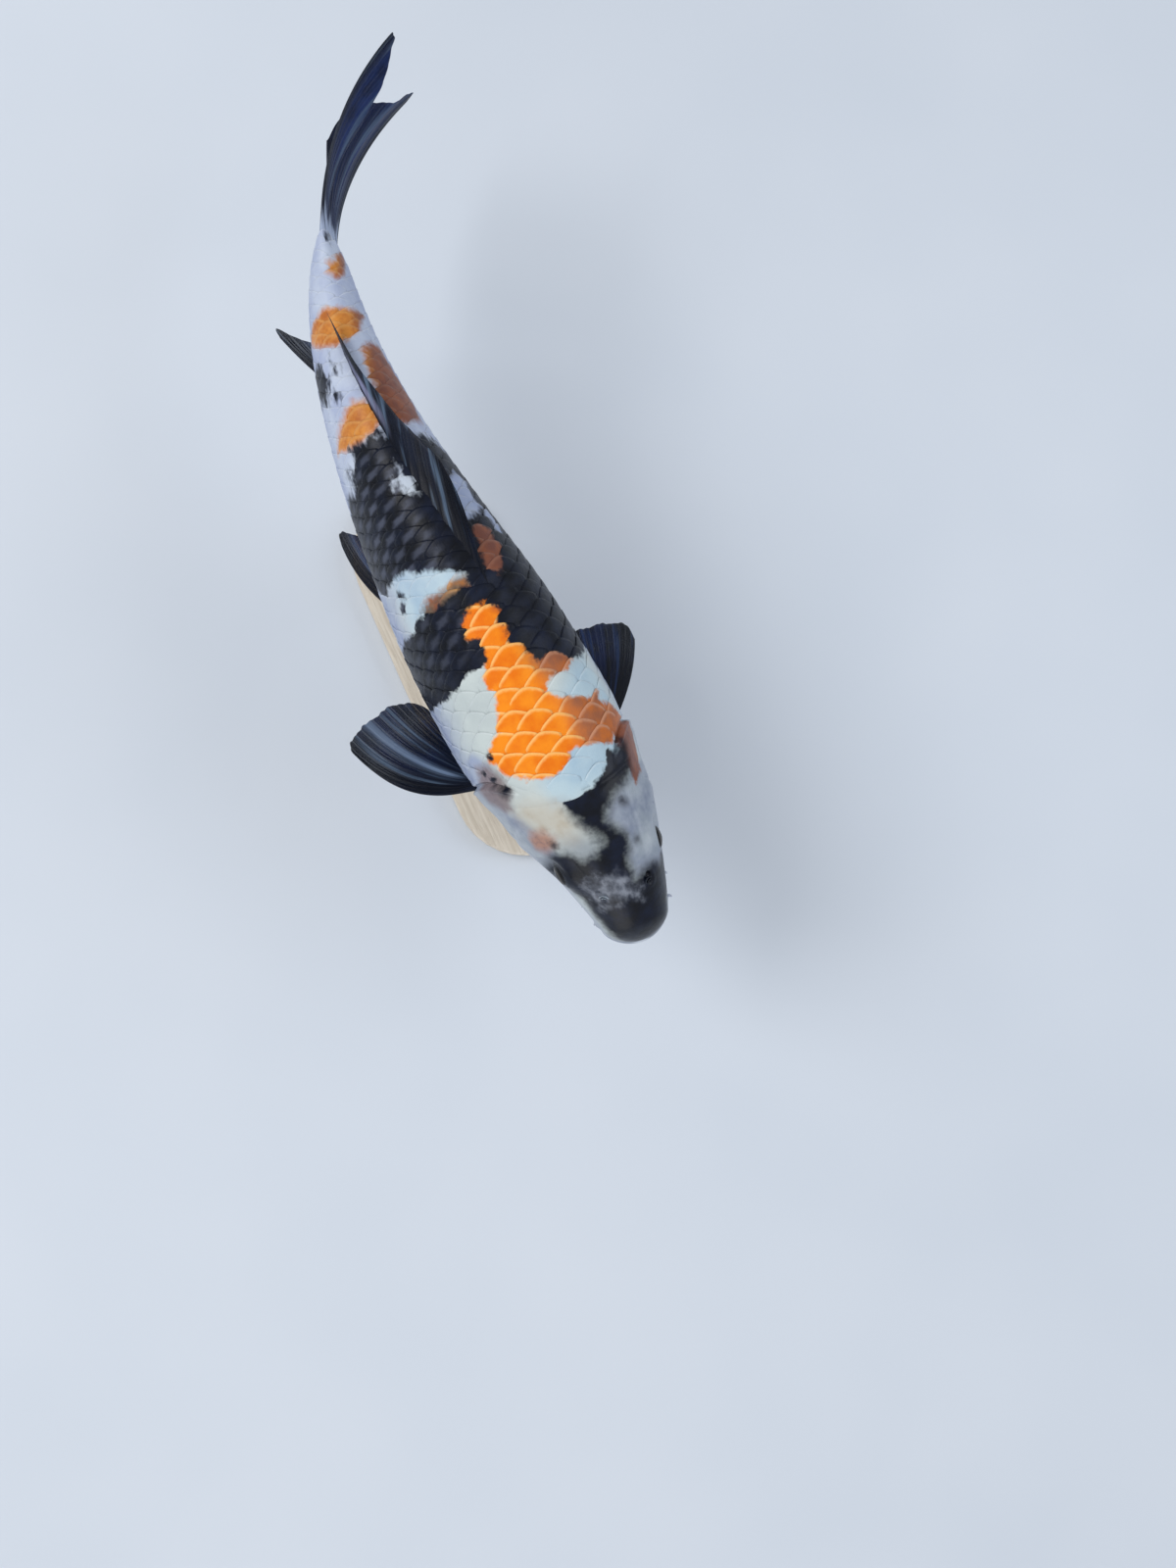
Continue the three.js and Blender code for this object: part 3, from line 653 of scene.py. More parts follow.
def make_skin(skin, material):
    points, at, angle = skin
    rows, columns = at.shape
    faces = grid_faces(rows, columns, wrap=True)[:, ::-1]
    first = np.arange(columns)
    last = first + (rows - 1) * columns
    ends = np.stack([points[0].mean(0), points[-1].mean(0)])
    snout = np.stack([np.roll(first, -1), first, np.full(columns, rows * columns)], 1)
    root = np.stack([last, np.roll(last, -1), np.full(columns, rows * columns + 1)], 1)
    all_at = np.r_[at.ravel(), 0, STANDARD_LENGTH]
    all_angle = np.r_[angle.ravel(), 0, 0]
    mesh_piece(
        "koi_skin", np.vstack([points.reshape(-1, 3), ends]), [faces, snout, root], material,
        fields=marking_fields(all_at, all_angle), replaces=FLESH,
    )


# ---------------------------------------------------------------- eyes, barbels and nostrils

EYE_RINGS, EYE_AROUND = 64, 72
IRIS_FLAT = 1.2  # how far the iris lies inside the ball
BEHIND_EYE = 9.0  # says to the material that a point is on the ball's hidden half


def make_eye(name, side, material):
    """An eyeball, flatter over the iris, with a raised lens."""
    centre, outwards, to_tail, to_back = eye_frame(side)
    turn, spin = grid(np.linspace(0.002, math.pi - 0.002, EYE_RINGS), turns(EYE_AROUND))
    away = EYE["radius"] * np.sin(turn)
    along = EYE["radius"] * np.cos(turn)
    front = along > 0
    iris = mix(EYE["radius"] - IRIS_FLAT, along, smooth(away, 2.0, 5.4))
    along = np.where(front, mix(along, iris, 0.55) + 0.3 * bump(away, 2.4), along)
    points = centre + along[..., None] * outwards
    points = points + (away * np.cos(spin))[..., None] * to_tail
    points = points + (away * np.sin(spin))[..., None] * to_back
    faces = [part[:, ::side] for part in tube_faces(EYE_RINGS, EYE_AROUND)]
    mesh_piece(
        f"koi_eye_{name}", points, faces, material,
        fields={"away": np.where(front, away, BEHIND_EYE), "spin": spin}, replaces=(f"eye_{name}",),
    )


def make_eye_rim(name, side, material, skin):
    """A soft ring of skin round the eyeball, with the markings of the skin nearest to it."""
    centre, outwards, to_tail, to_back = eye_frame(side)
    rings, around = EYE_AROUND, 16
    spin, turn = grid(turns(rings), turns(around))
    away = EYE_RIM["away"] + EYE_RIM["wide"] * np.cos(turn)
    along = EYE_RIM["along"] + EYE_RIM["tall"] * np.sin(turn)
    to_rim = np.cos(spin)[..., None] * to_tail + np.sin(spin)[..., None] * to_back
    points = (centre + along[..., None] * outwards + away[..., None] * to_rim).reshape(-1, 3)
    skin_places, skin_at, skin_angle = skin
    close = np.linalg.norm(skin_places - centre, axis=-1) < 2 * EYE["radius"]
    gaps = np.linalg.norm(points[:, None] - skin_places[close], axis=-1)
    nearest = gaps.argmin(1)
    faces = grid_faces(rings, around, wrap=True, wrap_rows=True)
    mesh_piece(
        f"koi_eye_rim_{name}", points, [faces[:, ::side]], material,
        fields=marking_fields(skin_at[close][nearest], skin_angle[close][nearest]),
    )


BARBEL_RINGS, BARBEL_AROUND = 30, 14


def tube_points(path, radii, around):
    """Rings of points round a path, each square to it."""
    tangent = unit(np.gradient(path, axis=0))
    level = unit(np.cross(tangent, np.array([0.0, 0.0, 1.0])))
    plumb = np.cross(level, tangent)
    spin = turns(around)[None, :, None]
    spokes = np.cos(spin) * level[:, None] + np.sin(spin) * plumb[:, None]
    return path[:, None] + spokes * radii[:, None, None]


def make_barbel(pair, name, side, material):
    """A tapering feeler, thick at its root, that bends down."""
    form = BARBELS[pair]
    at = np.float64(form["at"])
    root = on_body(at, side * angle_at_height(form["at"], form["height"]), -1)
    reach = towards(at, form["tail"], side * form["out"] * BARBEL_SPREAD[name], 0)
    tip = root + reach + np.array([0, 0, -form["down"]])
    out = np.linspace(0, 1, BARBEL_RINGS)
    f = out[:, None]
    path = root * (1 - f) ** 2 + (root + 0.85 * reach) * 2 * f * (1 - f) + tip * f * f
    path = path + towards(at, 1, 0, 0) * (0.12 * form["down"] * np.sin(f * math.pi * 1.4))
    radii = mix(form["radius"], BARBEL_TIP, out) + 0.8 * bump(out, 0.16)
    radii[-4:] *= [0.97, 0.85, 0.62, 0.25]
    points = tube_points(path, radii, BARBEL_AROUND)
    mesh_piece(
        f"koi_barbel_{pair}_{name}", points, tube_faces(len(path), BARBEL_AROUND), material,
        fields={"out": np.repeat(out, BARBEL_AROUND)}, replaces=(f"barbel_{pair}_{name}",),
    )


FLAPS = {"front": {"reach": 1.0, "tall": 0.7}, "rear": {"reach": 2.1, "tall": 1.1}}
FLAP_THICK = 0.28
FLAP_ROOT = 0.7  # how deep it starts in the skin


def make_nostril_flaps(name, side, material):
    """Two small curved flaps of skin round each nostril's front opening, the rear one the taller."""
    columns, rows = 25, 13
    f, r = grid(np.linspace(-1, 1, columns), np.linspace(0, 1, rows))
    turn = f * 1.3 - 0.6
    points, faces = [], []
    for flap in FLAPS.values():
        faces.append(sheet_faces(columns, rows)[:, ::-side] + len(points) * columns * rows)
        for inwards in (0, FLAP_THICK):
            radius = flap["reach"] - inwards * (1 - 0.5 * r)
            at = NOSTRIL["at"] - 1.6 + radius * np.cos(turn) * 0.85
            across = radius * np.sin(turn) * 1.15
            angle = side * (math.radians(NOSTRIL["degrees"]) + across / ROUND(at))
            rise = (flap["tall"] + FLAP_ROOT) * r * (1 - 0.35 * f * f) * np.cos(f * 1.2) ** 0.5
            points.append(on_body(at, angle, rise - FLAP_ROOT))
    mesh_piece(f"koi_nostril_flaps_{name}", points, faces, material)


# ---------------------------------------------------------------- scales

SCALE_LENGTH = curve([[56, 8.4], [95, 8.5], [125, 8.2], [165, 6.9], [200, 6.4], [240, 5.9], [297, 5.2]])
ROW_WIDTH = curve([[56, 7.5], [95, 7.8], [150, 8.2], [185, 8.1], [225, 7.0], [260, 6.2], [297, 5.6]])
ROWS = range(-15, 16)
ROW_START = -3.7  # arc length of row 0 from the mid line of the back
FIRST_CENTRE = 92.7  # where a scale of row 0 has its middle
ROW_SHEAR = 0.1  # each row further from the back runs ahead by this share of a scale
SCALES_FROM = 64.5
SCALES_END = 293
SCALES_PARTED = 150  # between the front and the rear meshes
SCALE_TOP = 0.06  # how far a scale's rear edge stands off the outline
SCALE_SLOPE = 0.052  # how fast it sinks towards its root
SCALE_THICK = 0.13
SCALE_ROWS, SCALE_COLUMNS = 11, 13  # points of a scale's face along and across
SCALE_PATCH = (0.6, 0.46)  # a scale's patch of the unwrap for its own length and width
LATERAL_LINE = curve([[70, 73], [95, 82], [130, 92], [200, 94], [297, 91]])  # its angle, in degrees

_pitch_at = np.arange(50, 297, 0.25)
_pitch_count = np.cumsum(0.25 / SCALE_LENGTH(_pitch_at))


def scale_centres():
    """Distances along the spine and arcs from the back of every scale's middle, in staggered rows."""
    zero = np.interp(FIRST_CENTRE, _pitch_at, _pitch_count)
    found = []
    for row in ROWS:
        count = np.arange(-8, 40) + 0.5 * (row % 2) - ROW_SHEAR * abs(row)
        at = np.interp(count + zero, _pitch_count, _pitch_at, left=0, right=999)
        arc = ROW_START + row * ROW_WIDTH(at)
        kept = (at > 58) & (at < SCALES_END) & (np.abs(arc) < half_girth(at) - 0.3 * ROW_WIDTH(at))
        at, arc = at[kept], arc[kept]
        start = np.maximum(gill_line(angle_of_arc(at, arc)) + 3.0, SCALES_FROM)
        found.append(np.stack([at[at > start], arc[at > start]], 1))
    return np.vstack(found)


def scale_shapes(centres, draw):
    """Places of scales' points along and round the body and off it, and what the pigments read there."""
    one_each = (len(centres), 1, 1)
    centre_at, centre_arc = (values.reshape(one_each) for values in centres.T)
    length = SCALE_LENGTH(centre_at)
    half = 0.94 * ROW_WIDTH(centre_at)
    size = 1 + 0.05 * draw.standard_normal(one_each)
    f, q = grid(np.linspace(0, 1, SCALE_ROWS) ** 0.85, np.linspace(-1, 1, SCALE_COLUMNS))
    arc_part = (1 - np.sqrt(1 - 0.95 * q * q)) / (1 - math.sqrt(0.05))
    chord_part = np.sqrt(q * q + 0.03) - math.sqrt(0.03)
    rear = length * size * (0.5 - 0.5 * (0.3 * arc_part + 0.7 * chord_part))
    along = mix(-0.95 * length, rear, f)
    across = q * half * mix(0.8, 1.0, smooth(f, 0, 0.5))
    turn = 0.05 * draw.standard_normal(one_each)
    x = along - across * turn
    y = across + along * turn
    margin = rear - along
    lift = SCALE_TOP - SCALE_SLOPE * (0.5 * length - along) + 0.1 * (1 - q * q)
    lift = lift - 0.05 * bump(margin, 0.35) + 0.025 * draw.standard_normal(one_each)
    at = np.clip(centre_at + x, 50, STANDARD_LENGTH - 0.01)
    widest = half_girth(at) * 0.995
    angle = angle_of_arc(at, np.clip(centre_arc + y, -widest, widest))
    behind = at - gill_line(angle)
    lift = lift - 1.8 * (1 - smooth(behind, 0.5, 3.5)) - 0.45 * q**4 * (1 - smooth(behind, 5, 11))
    fields = {
        "margin": margin,
        "middle_x": (x + 0.02 * length) / length,
        "middle_y": y / half,
        "chance": np.broadcast_to(draw.random(one_each), at.shape),
        "line": (np.abs(angle) - np.radians(LATERAL_LINE(at))) * ROUND(at),
    }
    uv = skin_uv(centre_at + SCALE_PATCH[0] * x, centre_arc + SCALE_PATCH[1] * y)
    return at, angle, lift, fields, uv


def make_scales(name, centres, draw, material):
    """Scales as thin closed plates, each marked mostly as the place where it lies."""
    at, angle, lift, fields, uv = scale_shapes(centres, draw)
    points_each = SCALE_ROWS * SCALE_COLUMNS
    shift = np.arange(len(centres)) * 2 * points_each
    plate = sheet_faces(SCALE_ROWS, SCALE_COLUMNS)[:, ::-1]
    faces = (plate[None] + shift[:, None, None]).reshape(-1, 4)
    points = np.stack([on_body(at, angle, lift - depth) for depth in (0, SCALE_THICK)], 1)

    def twice(values):
        """Values of the upper points, said again for the lower ones."""
        values = values.reshape(len(centres), 1, -1)
        return np.repeat(values, 2, 1).ravel()

    centre_at = centres[:, 0, None, None]
    centre_angle = angle_of_arc(centres[:, 0], centres[:, 1])[:, None, None]
    marked = marking_fields(twice(mix(at, centre_at, 0.2)), twice(mix(angle, centre_angle, 0.2)))
    mesh_piece(
        name, points, [faces], material, uv=twice(uv).reshape(-1, 2),
        fields={**marked, **{field: twice(values) for field, values in fields.items()}},
    )


def make_all_scales(material):
    draw = np.random.default_rng(7)
    centres = scale_centres()
    left, rear = centres[:, 1] >= 0, centres[:, 0] >= SCALES_PARTED
    for side, on_side in (("right", ~left), ("left", left)):
        for end, at_end in (("front", ~rear), ("rear", rear)):
            make_scales(f"koi_scales_{end}_{side}", centres[on_side & at_end], draw, material)


# ---------------------------------------------------------------- fins

CAUDAL_SWEEP = curve([[0, 2], [0.3, 38], [0.6, 48], [0.85, 48], [1, 44]])
CAUDAL_LENGTH = {
    "upper": curve([[0, 44], [0.3, 46], [0.6, 68], [0.92, 86], [1, 82]]),
    "lower": curve([[0, 44], [0.3, 64], [0.6, 76], [0.9, 88], [1, 84]]),
}
LOBE_START = 0.002  # keeps the first rays of the two lobes apart
DORSAL = {"at": 130, "base": 114, "sunk": 2.5}
DORSAL_LENGTH = curve([[0, 40], [0.05, 43], [0.2, 39], [0.35, 31], [0.6, 22], [1, 18]])
DORSAL_RAISE = curve([[0, 13], [0.3, 20], [0.6, 25], [1, 27]])
DORSAL_LEAN = curve([[0, 45], [0.35, 45], [0.7, 15], [1, -20]])
ANAL = {"at": 234, "base": 16, "sunk": 2.5}
ANAL_LENGTH = curve([[0, 47], [0.12, 50], [0.3, 39], [0.5, 30], [1, 16]])
PECTORAL = {
    "at": 80, "base": (5, -4, -11), "out": 28, "height": -13,
    "lengths": [[0, 58], [0.12, 62], [0.5, 52], [0.8, 44], [1, 35]],
}
PECTORAL_SET = {
    "right": {
        "first": ((0.08, 0.99, -0.05), (0.97, 0.33, -0.12)),
        "last": ((0.96, 0.25, -0.1), (0.93, 0.26, -0.24)),
    },
    "left": {
        "first": ((0.45, 0.66, -0.6), (0.57, 0.34, -0.72)),
        "last": ((0.9, 0.1, -0.42), (0.9, 0.1, -0.42)),
    },
}
PELVIC = {
    "at": 153, "base": (6, -7, 0), "out": 15, "height": -34,
    "lengths": [[0, 49], [0.15, 52], [0.5, 44], [1, 30]],
    "first": ((0.8, 0.46, -0.39), (0.96, -0.16, -0.24)),
    "last": ((0.95, 0.1, -0.35), (0.97, 0, -0.25)),
}


FIN_EDGE = 0.22  # how thick the web is at its edge
FIN_NOTCH = 0.008  # how deep the edge is notched between two rays, as a share of the fin

# A ray's function takes shares of the way along a fin's base, and gives the rays' roots, the directions
# in which they leave and end, and their lengths.


def dorsal_ray(t):
    at = DORSAL["at"] + DORSAL["base"] * t
    raised, lean = np.radians(DORSAL_RAISE(t)), np.radians(DORSAL_LEAN(t))
    slope = (BACK(at + 20) - BACK(at)) / 20
    up = np.sin(raised) * np.cos(lean) + slope * np.cos(raised)
    direction = towards(at + 12, np.cos(raised), np.sin(raised) * np.sin(lean), up)
    root = beside(at, np.zeros_like(at), BACK(at) - DORSAL["sunk"])
    return root, direction, direction, DORSAL_LENGTH(t) + DORSAL["sunk"]


def anal_ray(t):
    at = ANAL["at"] + ANAL["base"] * t
    root = beside(at, np.zeros_like(at), BELLY(at) + ANAL["sunk"])
    leaves = unit(towards(at, mix(0.78, 0.8, t), mix(-0.55, -0.38, t), mix(-0.31, -0.42, t)))
    ends = unit(towards(at, mix(0.9, 0.8, t), mix(-0.34, -0.25, t), mix(-0.2, -0.55, t)))
    return root, leaves, ends, ANAL_LENGTH(t) + ANAL["sunk"]


def caudal_ray(t, lobe):
    far = np.abs(t)
    _, tail, side, up = frame_at(np.full_like(t, STANDARD_LENGTH))

    def aim(turn, raised):
        turn, tilt = np.radians(turn)[..., None], np.radians(raised * t)[..., None]
        level = tail * np.cos(turn) + side * np.sin(turn)
        return level * np.cos(tilt) + up * np.sin(tilt)

    root = beside(296 - 5 * t * t, np.zeros_like(t), 16.6 * t)
    return root, aim(np.zeros_like(t), 14), aim(CAUDAL_SWEEP(far), 8), CAUDAL_LENGTH[lobe](far)


def caudal_lobe(lobe, sign):
    return lambda t: caudal_ray(sign * mix(LOBE_START, 1, t), lobe)


def paired_ray(side, form):
    """The rays of a pectoral or pelvic fin."""
    length_of = curve(form["lengths"])
    base, first, last = form["base"], form["first"], form["last"]

    def ray(t):
        at = np.full_like(t, form["at"])

        def to_world(start, end):
            tail, outward, up = (mix(a, b, t) for a, b in zip(start, end))
            return unit(towards(at, tail, side * outward, up))

        out = side * (form["out"] + base[1] * t)
        root = beside(form["at"] + base[0] * t, out, form["height"] + base[2] * t)
        return root, to_world(first[0], last[0]), to_world(first[1], last[1]), length_of(t)

    return ray


def ray_point(ray, t, r):
    """The point at a share r of the way out along the ray at t."""
    root, leaves, ends, length = ray(t)
    length, r = length[..., None], r[..., None]
    return root + leaves * length * (r - r * r / 2) + ends * length * r * r / 2


def ray_relief(t, r, rays):
    """How high the rays stand, 0 to 1: each divides in two and again on its way to the edge."""
    place = np.mod(t * rays, 1) - 0.5
    first_fork = 0.2 * smooth(r, 0.28, 0.75)
    second_fork = 0.1 * smooth(r, 0.6, 0.98)
    width = mix(0.2, 0.06, smooth(r, 0, 0.9))
    height = 0
    for one in (-1, 1):
        for two in (-1, 1):
            centre = one * first_fork + two * second_fork
            height = np.maximum(height, bump(place - centre, width))
    return height


def make_fin(node, ray, rays, material, thick, rows, columns_each=12, spine=0, rounded=0, swell=0.5):
    """A fin: a thin web with raised, forking rays on both faces and a slightly uneven edge."""
    columns = rays * columns_each + 1
    t, r = grid(np.linspace(0, 1, columns), np.linspace(0, 1, rows))
    relief = ray_relief(t, r, rays)
    notch = FIN_NOTCH * (1 - bump(np.mod(t * rays, 1) - 0.5, 0.45))
    uneven = 0.006 * np.sin(t * rays * 1.7 + 0.7) + 0.003 * np.sin(t * rays * 4.3)
    corner = rounded * bump(t, 0.06)
    reach = r * (1 - (notch + uneven + corner + 0.009) * smooth(r, 0.6, 1))
    step = 1e-3
    middle = ray_point(ray, t, reach)
    across = ray_point(ray, t + step, reach) - ray_point(ray, t - step, reach)
    along = ray_point(ray, t, reach + step) - ray_point(ray, t, reach - step)
    normal = unit(np.cross(across, along))
    web = mix(thick * 0.3, FIN_EDGE * 0.5, smooth(r, 0, 0.5))
    ridge = mix(thick * 0.1, 0.045, smooth(r, 0, 0.95)) * relief
    lead = spine * bump(t, 0.035) * (1 - 0.8 * r)
    tip_taper = np.minimum(1, 0.25 + 14 * (1 - r))
    side_taper = np.minimum(1, 0.3 + 22 * np.minimum(t, 1 - t) * rays / 12)
    root = swell * (1 - smooth(r, 0, 0.15)) * np.sqrt(4 * t * (1 - t))
    half = (web + ridge + lead) * (tip_taper * side_taper) + root
    wave = 0.35 * np.sin(t * rays * 1.3 + 2.4 * r) * r * r
    points = [middle + normal * rise[..., None] for rise in (wave + half, wave - half)]
    fields = {"span": t, "out": r, "ray": relief}
    mesh_piece(
        f"koi_{node}", points, [sheet_faces(columns, rows)], material,
        fields={field: np.tile(values.ravel(), 2) for field, values in fields.items()}, replaces=(node,),
    )


def make_fins(materials):
    make_fin("dorsal_fin", dorsal_ray, 15, materials["dorsal"], thick=1.7, rows=56)
    make_fin("anal_fin", anal_ray, 8, materials["anal"], thick=1.5, rows=56, spine=0.3)
    for lobe, sign in (("upper", 1), ("lower", -1)):
        make_fin(
            f"caudal_fin_{lobe}", caudal_lobe(lobe, sign), 10, materials["caudal"],
            thick=1.9, rows=84, spine=0.3, rounded=0.1, swell=1.1,
        )
    for name, side in SIDES.items():
        pectoral = paired_ray(side, {**PECTORAL, **PECTORAL_SET[name]})
        make_fin(
            f"pectoral_fin_{name}", pectoral, 15, materials[f"pectoral_{name}"],
            thick=1.6, rows=64, columns_each=10, spine=0.35,
        )
        make_fin(
            f"pelvic_fin_{name}", paired_ray(side, PELVIC), 9, materials["pelvic"],
            thick=1.5, rows=52, spine=0.3,
        )


# ---------------------------------------------------------------- material tools


def srgb(red, green, blue):
    """A colour as a screen shows it, 0 to 255, as the shader wants it."""
    parts = [value / 255 for value in (red, green, blue)]
    return tuple(p / 12.92 if p <= 0.04045 else ((p + 0.055) / 1.055) ** 2.4 for p in parts) + (1.0,)


class Value:
    """A number that a material's nodes work out at each point of the surface."""

    def __init__(self, shader, socket):
        self.shader = shader
        self.socket = socket

    def __add__(self, other):
        return self.shader.math("ADD", self, other)

    def __sub__(self, other):
        return self.shader.math("SUBTRACT", self, other)

    def __rsub__(self, other):
        return self.shader.math("SUBTRACT", other, self)

    def __mul__(self, other):
        return self.shader.math("MULTIPLY", self, other)

    def __abs__(self):
        return self.shader.math("ABSOLUTE", self)

    def sine(self):
        return self.shader.math("SINE", self)

    def between(self, low, high):
        """0 at low and beyond, 1 at high and beyond, and smooth between."""
        inputs = {"Value": self, "From Min": low, "From Max": high}
        node = self.shader.add("MapRange", inputs, interpolation_type="SMOOTHSTEP")
        return Value(self.shader, node.outputs[0])

    def ridge(self, centre, width):
        """1 at centre, and 0 from a width away."""
        return 1.0 - abs(self - centre).between(0.0, width)


class Shader:
    """One material's nodes. Any input takes a Value, a socket or a plain number or colour."""

    def __init__(self, name):
        self.material = bpy.data.materials.new(name)
        self.material.use_nodes = True
        self.tree = self.material.node_tree
        self.surface = self.tree.nodes["Principled BSDF"]
        self.place = self.add("TexCoord").outputs["Object"]

    def add(self, kind, inputs=None, **settings):
        node = self.tree.nodes.new(f"ShaderNode{kind}")
        for key, value in settings.items():
            setattr(node, key, value)
        for key, value in (inputs or {}).items():
            self.feed(node.inputs[key], value)
        return node

    def feed(self, socket, value):
        if isinstance(value, Value):
            value = value.socket
        if isinstance(value, bpy.types.NodeSocket):
            self.tree.links.new(value, socket)
        else:
            socket.default_value = value

    def math(self, operation, first, second=0.0):
        node = self.add("Math", {0: first, 1: second}, operation=operation)
        return Value(self, node.outputs[0])

    def blend(self, share, first, second):
        """A colour between two: the first where share is 0, the second where it is 1."""
        return self.add("Mix", {0: share, 6: first, 7: second}, data_type="RGBA").outputs[2]

    def ramp(self, value, low, high, first, second):
        """A colour that goes from the first to the second as value goes from low to high."""
        return self.blend(value.between(low, high), first, second)

    def noise(self, size, detail=3.0, stretch=None, distortion=0.0):
        """Noise of about one feature per size millimetres, -0.5 to 0.5."""
        place = self.place
        if stretch:
            place = self.add("Mapping", {"Vector": place, "Scale": stretch}).outputs[0]
        inputs = {"Vector": place, "Scale": 1000 / size, "Detail": detail, "Distortion": distortion}
        return Value(self, self.add("TexNoise", inputs).outputs[0]) - 0.5

    def streaks(self, across, along, count, length, place):
        """Noise drawn out along: so many streaks across, so long, and at a place of its own."""
        parts = {"X": across * count, "Y": along * (1 / length), "Z": place}
        vector = self.add("CombineXYZ", parts).outputs[0]
        inputs = {"Vector": vector, "Scale": 1.0, "Detail": 3.0}
        return Value(self, self.add("TexNoise", inputs).outputs[0]) - 0.5

    def field(self, name):
        """A value that the mesh keeps at its points."""
        return Value(self, self.add("Attribute", attribute_name=name).outputs["Fac"])

    def finish(self, colour, roughness, height=None, bump_mm=0.1, **more):
        """Sets the surface's colour, its roughness, a relief of so many millimetres, and more sockets."""
        sockets = {"Base_Color": colour, "Roughness": roughness, **more}
        for key, value in sockets.items():
            self.feed(self.surface.inputs[key.replace("_", " ")], value)
        if height is not None:
            relief = self.add("Bump", {"Height": height, "Distance": bump_mm * MM, "Strength": 1.0})
            self.feed(self.surface.inputs["Normal"], relief.outputs[0])
        return self.material


# ---------------------------------------------------------------- pigments

WHITE = srgb(194, 203, 201)
WHITE_DEEP = srgb(182, 191, 191)
ICE = srgb(182, 202, 210)
ICE_DEEP = srgb(160, 185, 202)
LAVENDER = srgb(186, 195, 212)
LAVENDER_DEEP = srgb(158, 168, 196)
PEARL = srgb(226, 232, 236)
# Painted shade of the flanks and cheeks: bluish on the body, greyer on the head.
SHADE_BLUE = srgb(120, 135, 176)
SHADE_BLUE_PALE = srgb(152, 162, 192)
HEAD_SHADE = srgb(102, 112, 136)
HEAD_SHADE_PALE = srgb(134, 141, 160)
BEIGE = srgb(188, 182, 168)
BEIGE_DEEP = srgb(174, 160, 138)
BEIGE_GREY = srgb(134, 141, 148)
BELLY_WHITE = srgb(206, 212, 220)
BELLY_SHADE = srgb(190, 196, 208)
HI = srgb(246, 142, 26)
HI_DEEP = srgb(230, 112, 12)
HI_NET = srgb(250, 192, 112)
DULL_HI = srgb(206, 134, 58)
DULL_DEEP = srgb(172, 98, 44)
DULL_NET = srgb(212, 156, 92)
# Brick brown: partly the koi's own colour, partly painted shade on the left flank and the left gill cover.
BRICK = srgb(112, 68, 56)
BRICK_WARM = srgb(144, 84, 54)
BRICK_PALE = srgb(154, 92, 60)
BRICK_ORANGE = srgb(198, 108, 40)
BRICK_NET = srgb(138, 92, 74)
BRICK_PALE_NET = srgb(200, 144, 112)
TAUPE = srgb(122, 104, 84)
TAUPE_DEEP = srgb(82, 74, 66)
SUMI = srgb(8, 11, 19)
SUMI_BLUE = srgb(18, 26, 46)
KAGE = srgb(74, 79, 95)
PORE = srgb(92, 98, 118)
NOSE_GREY = srgb(88, 93, 104)
NOSE_PALE = srgb(142, 147, 158)
BLUSH_ORANGE = srgb(168, 122, 100)
BLUSH_TAUPE = srgb(118, 100, 102)
BLUSH_DEEP = srgb(92, 76, 78)


